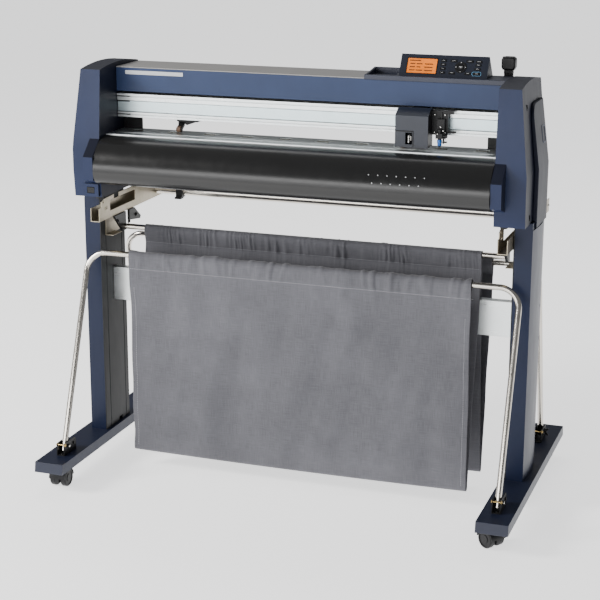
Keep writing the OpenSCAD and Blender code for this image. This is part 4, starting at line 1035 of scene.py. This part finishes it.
plate.prism(rounded(0.034, 0.024, 0.002, 5), (port_x, cover_rear - PROUD, 0.992), WEST, UP, 0.7 * MM)
plate.build("blank_plate", PALE, "stand", 0.15)

# Frame of the finger recess on each side panel
panel_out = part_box("side_panels")[1].x
RECESS_Y, RECESS_Z = 23 * MM, 1007.5 * MM
LEAN, LEAN_FROM, LEAN_TO = 22.5 * MM, 930 * MM, 1100 * MM


def side_x(z):
    """Distance of a side panel's outer face from the middle; it leans in from LEAN_FROM up."""
    return panel_out - LEAN * min(1.0, max(0.0, (z - LEAN_FROM) / (LEAN_TO - LEAN_FROM)))


recess = Batch()
for s in (-1, 1):
    lines = [
        [(s * (side_x(RECESS_Z + b) + 0.8 * MM), RECESS_Y + a, RECESS_Z + b) for a, b in outline]
        for outline in (rounded(0.036, 0.046, 0.008, 6), rounded(0.030, 0.040, 0.006, 6))
    ]
    recess.frame(*lines, (s * -2.3 * MM, 0, 0))
recess.build("side_recess_frames", MATS["slate_cover"], "stand", 0.3)


# ---------------------------------------------------------------- stage
def area(name, location, target, size, energy, colour=(1, 1, 1)):
    """A rectangular light that faces target."""
    light = bpy.data.lights.new(name, "AREA")
    light.shape, light.size, light.size_y = "RECTANGLE", size[0], size[1]
    light.energy, light.color = energy, colour
    obj = bpy.data.objects.new(name, light)
    obj.location = location
    aim = Vector(target) - Vector(location)
    obj.rotation_euler = aim.to_track_quat("-Z", "Y").to_euler()
    bpy.context.scene.collection.objects.link(obj)


def pale_floor():
    glow = {"Emission Color": (1, 1, 1, 1), "Emission Strength": 1.3}
    floor_mat = new_material("studio_floor", (0.80, 0.80, 0.80), 0.95, **glow)[0]
    mesh = bpy.data.meshes.new("studio_floor")
    r = 40.0
    mesh.from_pydata([(-r, -r, 0), (r, -r, 0), (r, r, 0), (-r, r, 0)], [], [(0, 1, 2, 3)])
    mesh.materials.append(floor_mat)
    floor = bpy.data.objects.new("studio_floor", mesh)
    bpy.context.scene.collection.objects.link(floor)


def soft_world():
    world = bpy.data.worlds.new("studio")
    world.use_nodes = True
    sky = world.node_tree.nodes["Background"]
    sky.inputs["Color"].default_value = (0.94, 0.96, 1.0, 1)
    sky.inputs["Strength"].default_value = 0.22
    bpy.context.scene.world = world


def photo_camera():
    """The camera as fitted: direction and distance from a target near the machine's middle."""
    azimuth, elevation, roll = math.radians(19.09), math.radians(15.34), math.radians(0.15)
    distance = 4.3872
    target = Vector((-0.02394, -0.014, 0.50958))
    level = math.cos(elevation)
    back = Vector((math.sin(azimuth) * level, -math.cos(azimuth) * level, math.sin(elevation)))
    cam = bpy.data.cameras.new("camera")
    cam.sensor_width = 36.0
    cam.lens = 94.64
    cam.clip_end = 100
    obj = bpy.data.objects.new("camera", cam)
    obj.location = target + back * distance
    obj.rotation_mode = "QUATERNION"
    tilt = Matrix.Rotation(roll, 3, "Z").to_quaternion()
    obj.rotation_quaternion = (-back).to_track_quat("-Z", "Y") @ tilt
    bpy.context.scene.collection.objects.link(obj)
    bpy.context.scene.camera = obj


pale_floor()
soft_world()
area("key", (-3.6, -2.6, 3.0), (0, 0, 0.7), (1.4, 1.6), 230, (1, 0.985, 0.96))
area("low_front", (-1.1, -4.2, 1.30), (0, 0, 0.85), (4.6, 0.9), 80)
area("top", (-0.4, 2.6, 4.6), (0, 0, 0.6), (5.0, 2.0), 80)
photo_camera()
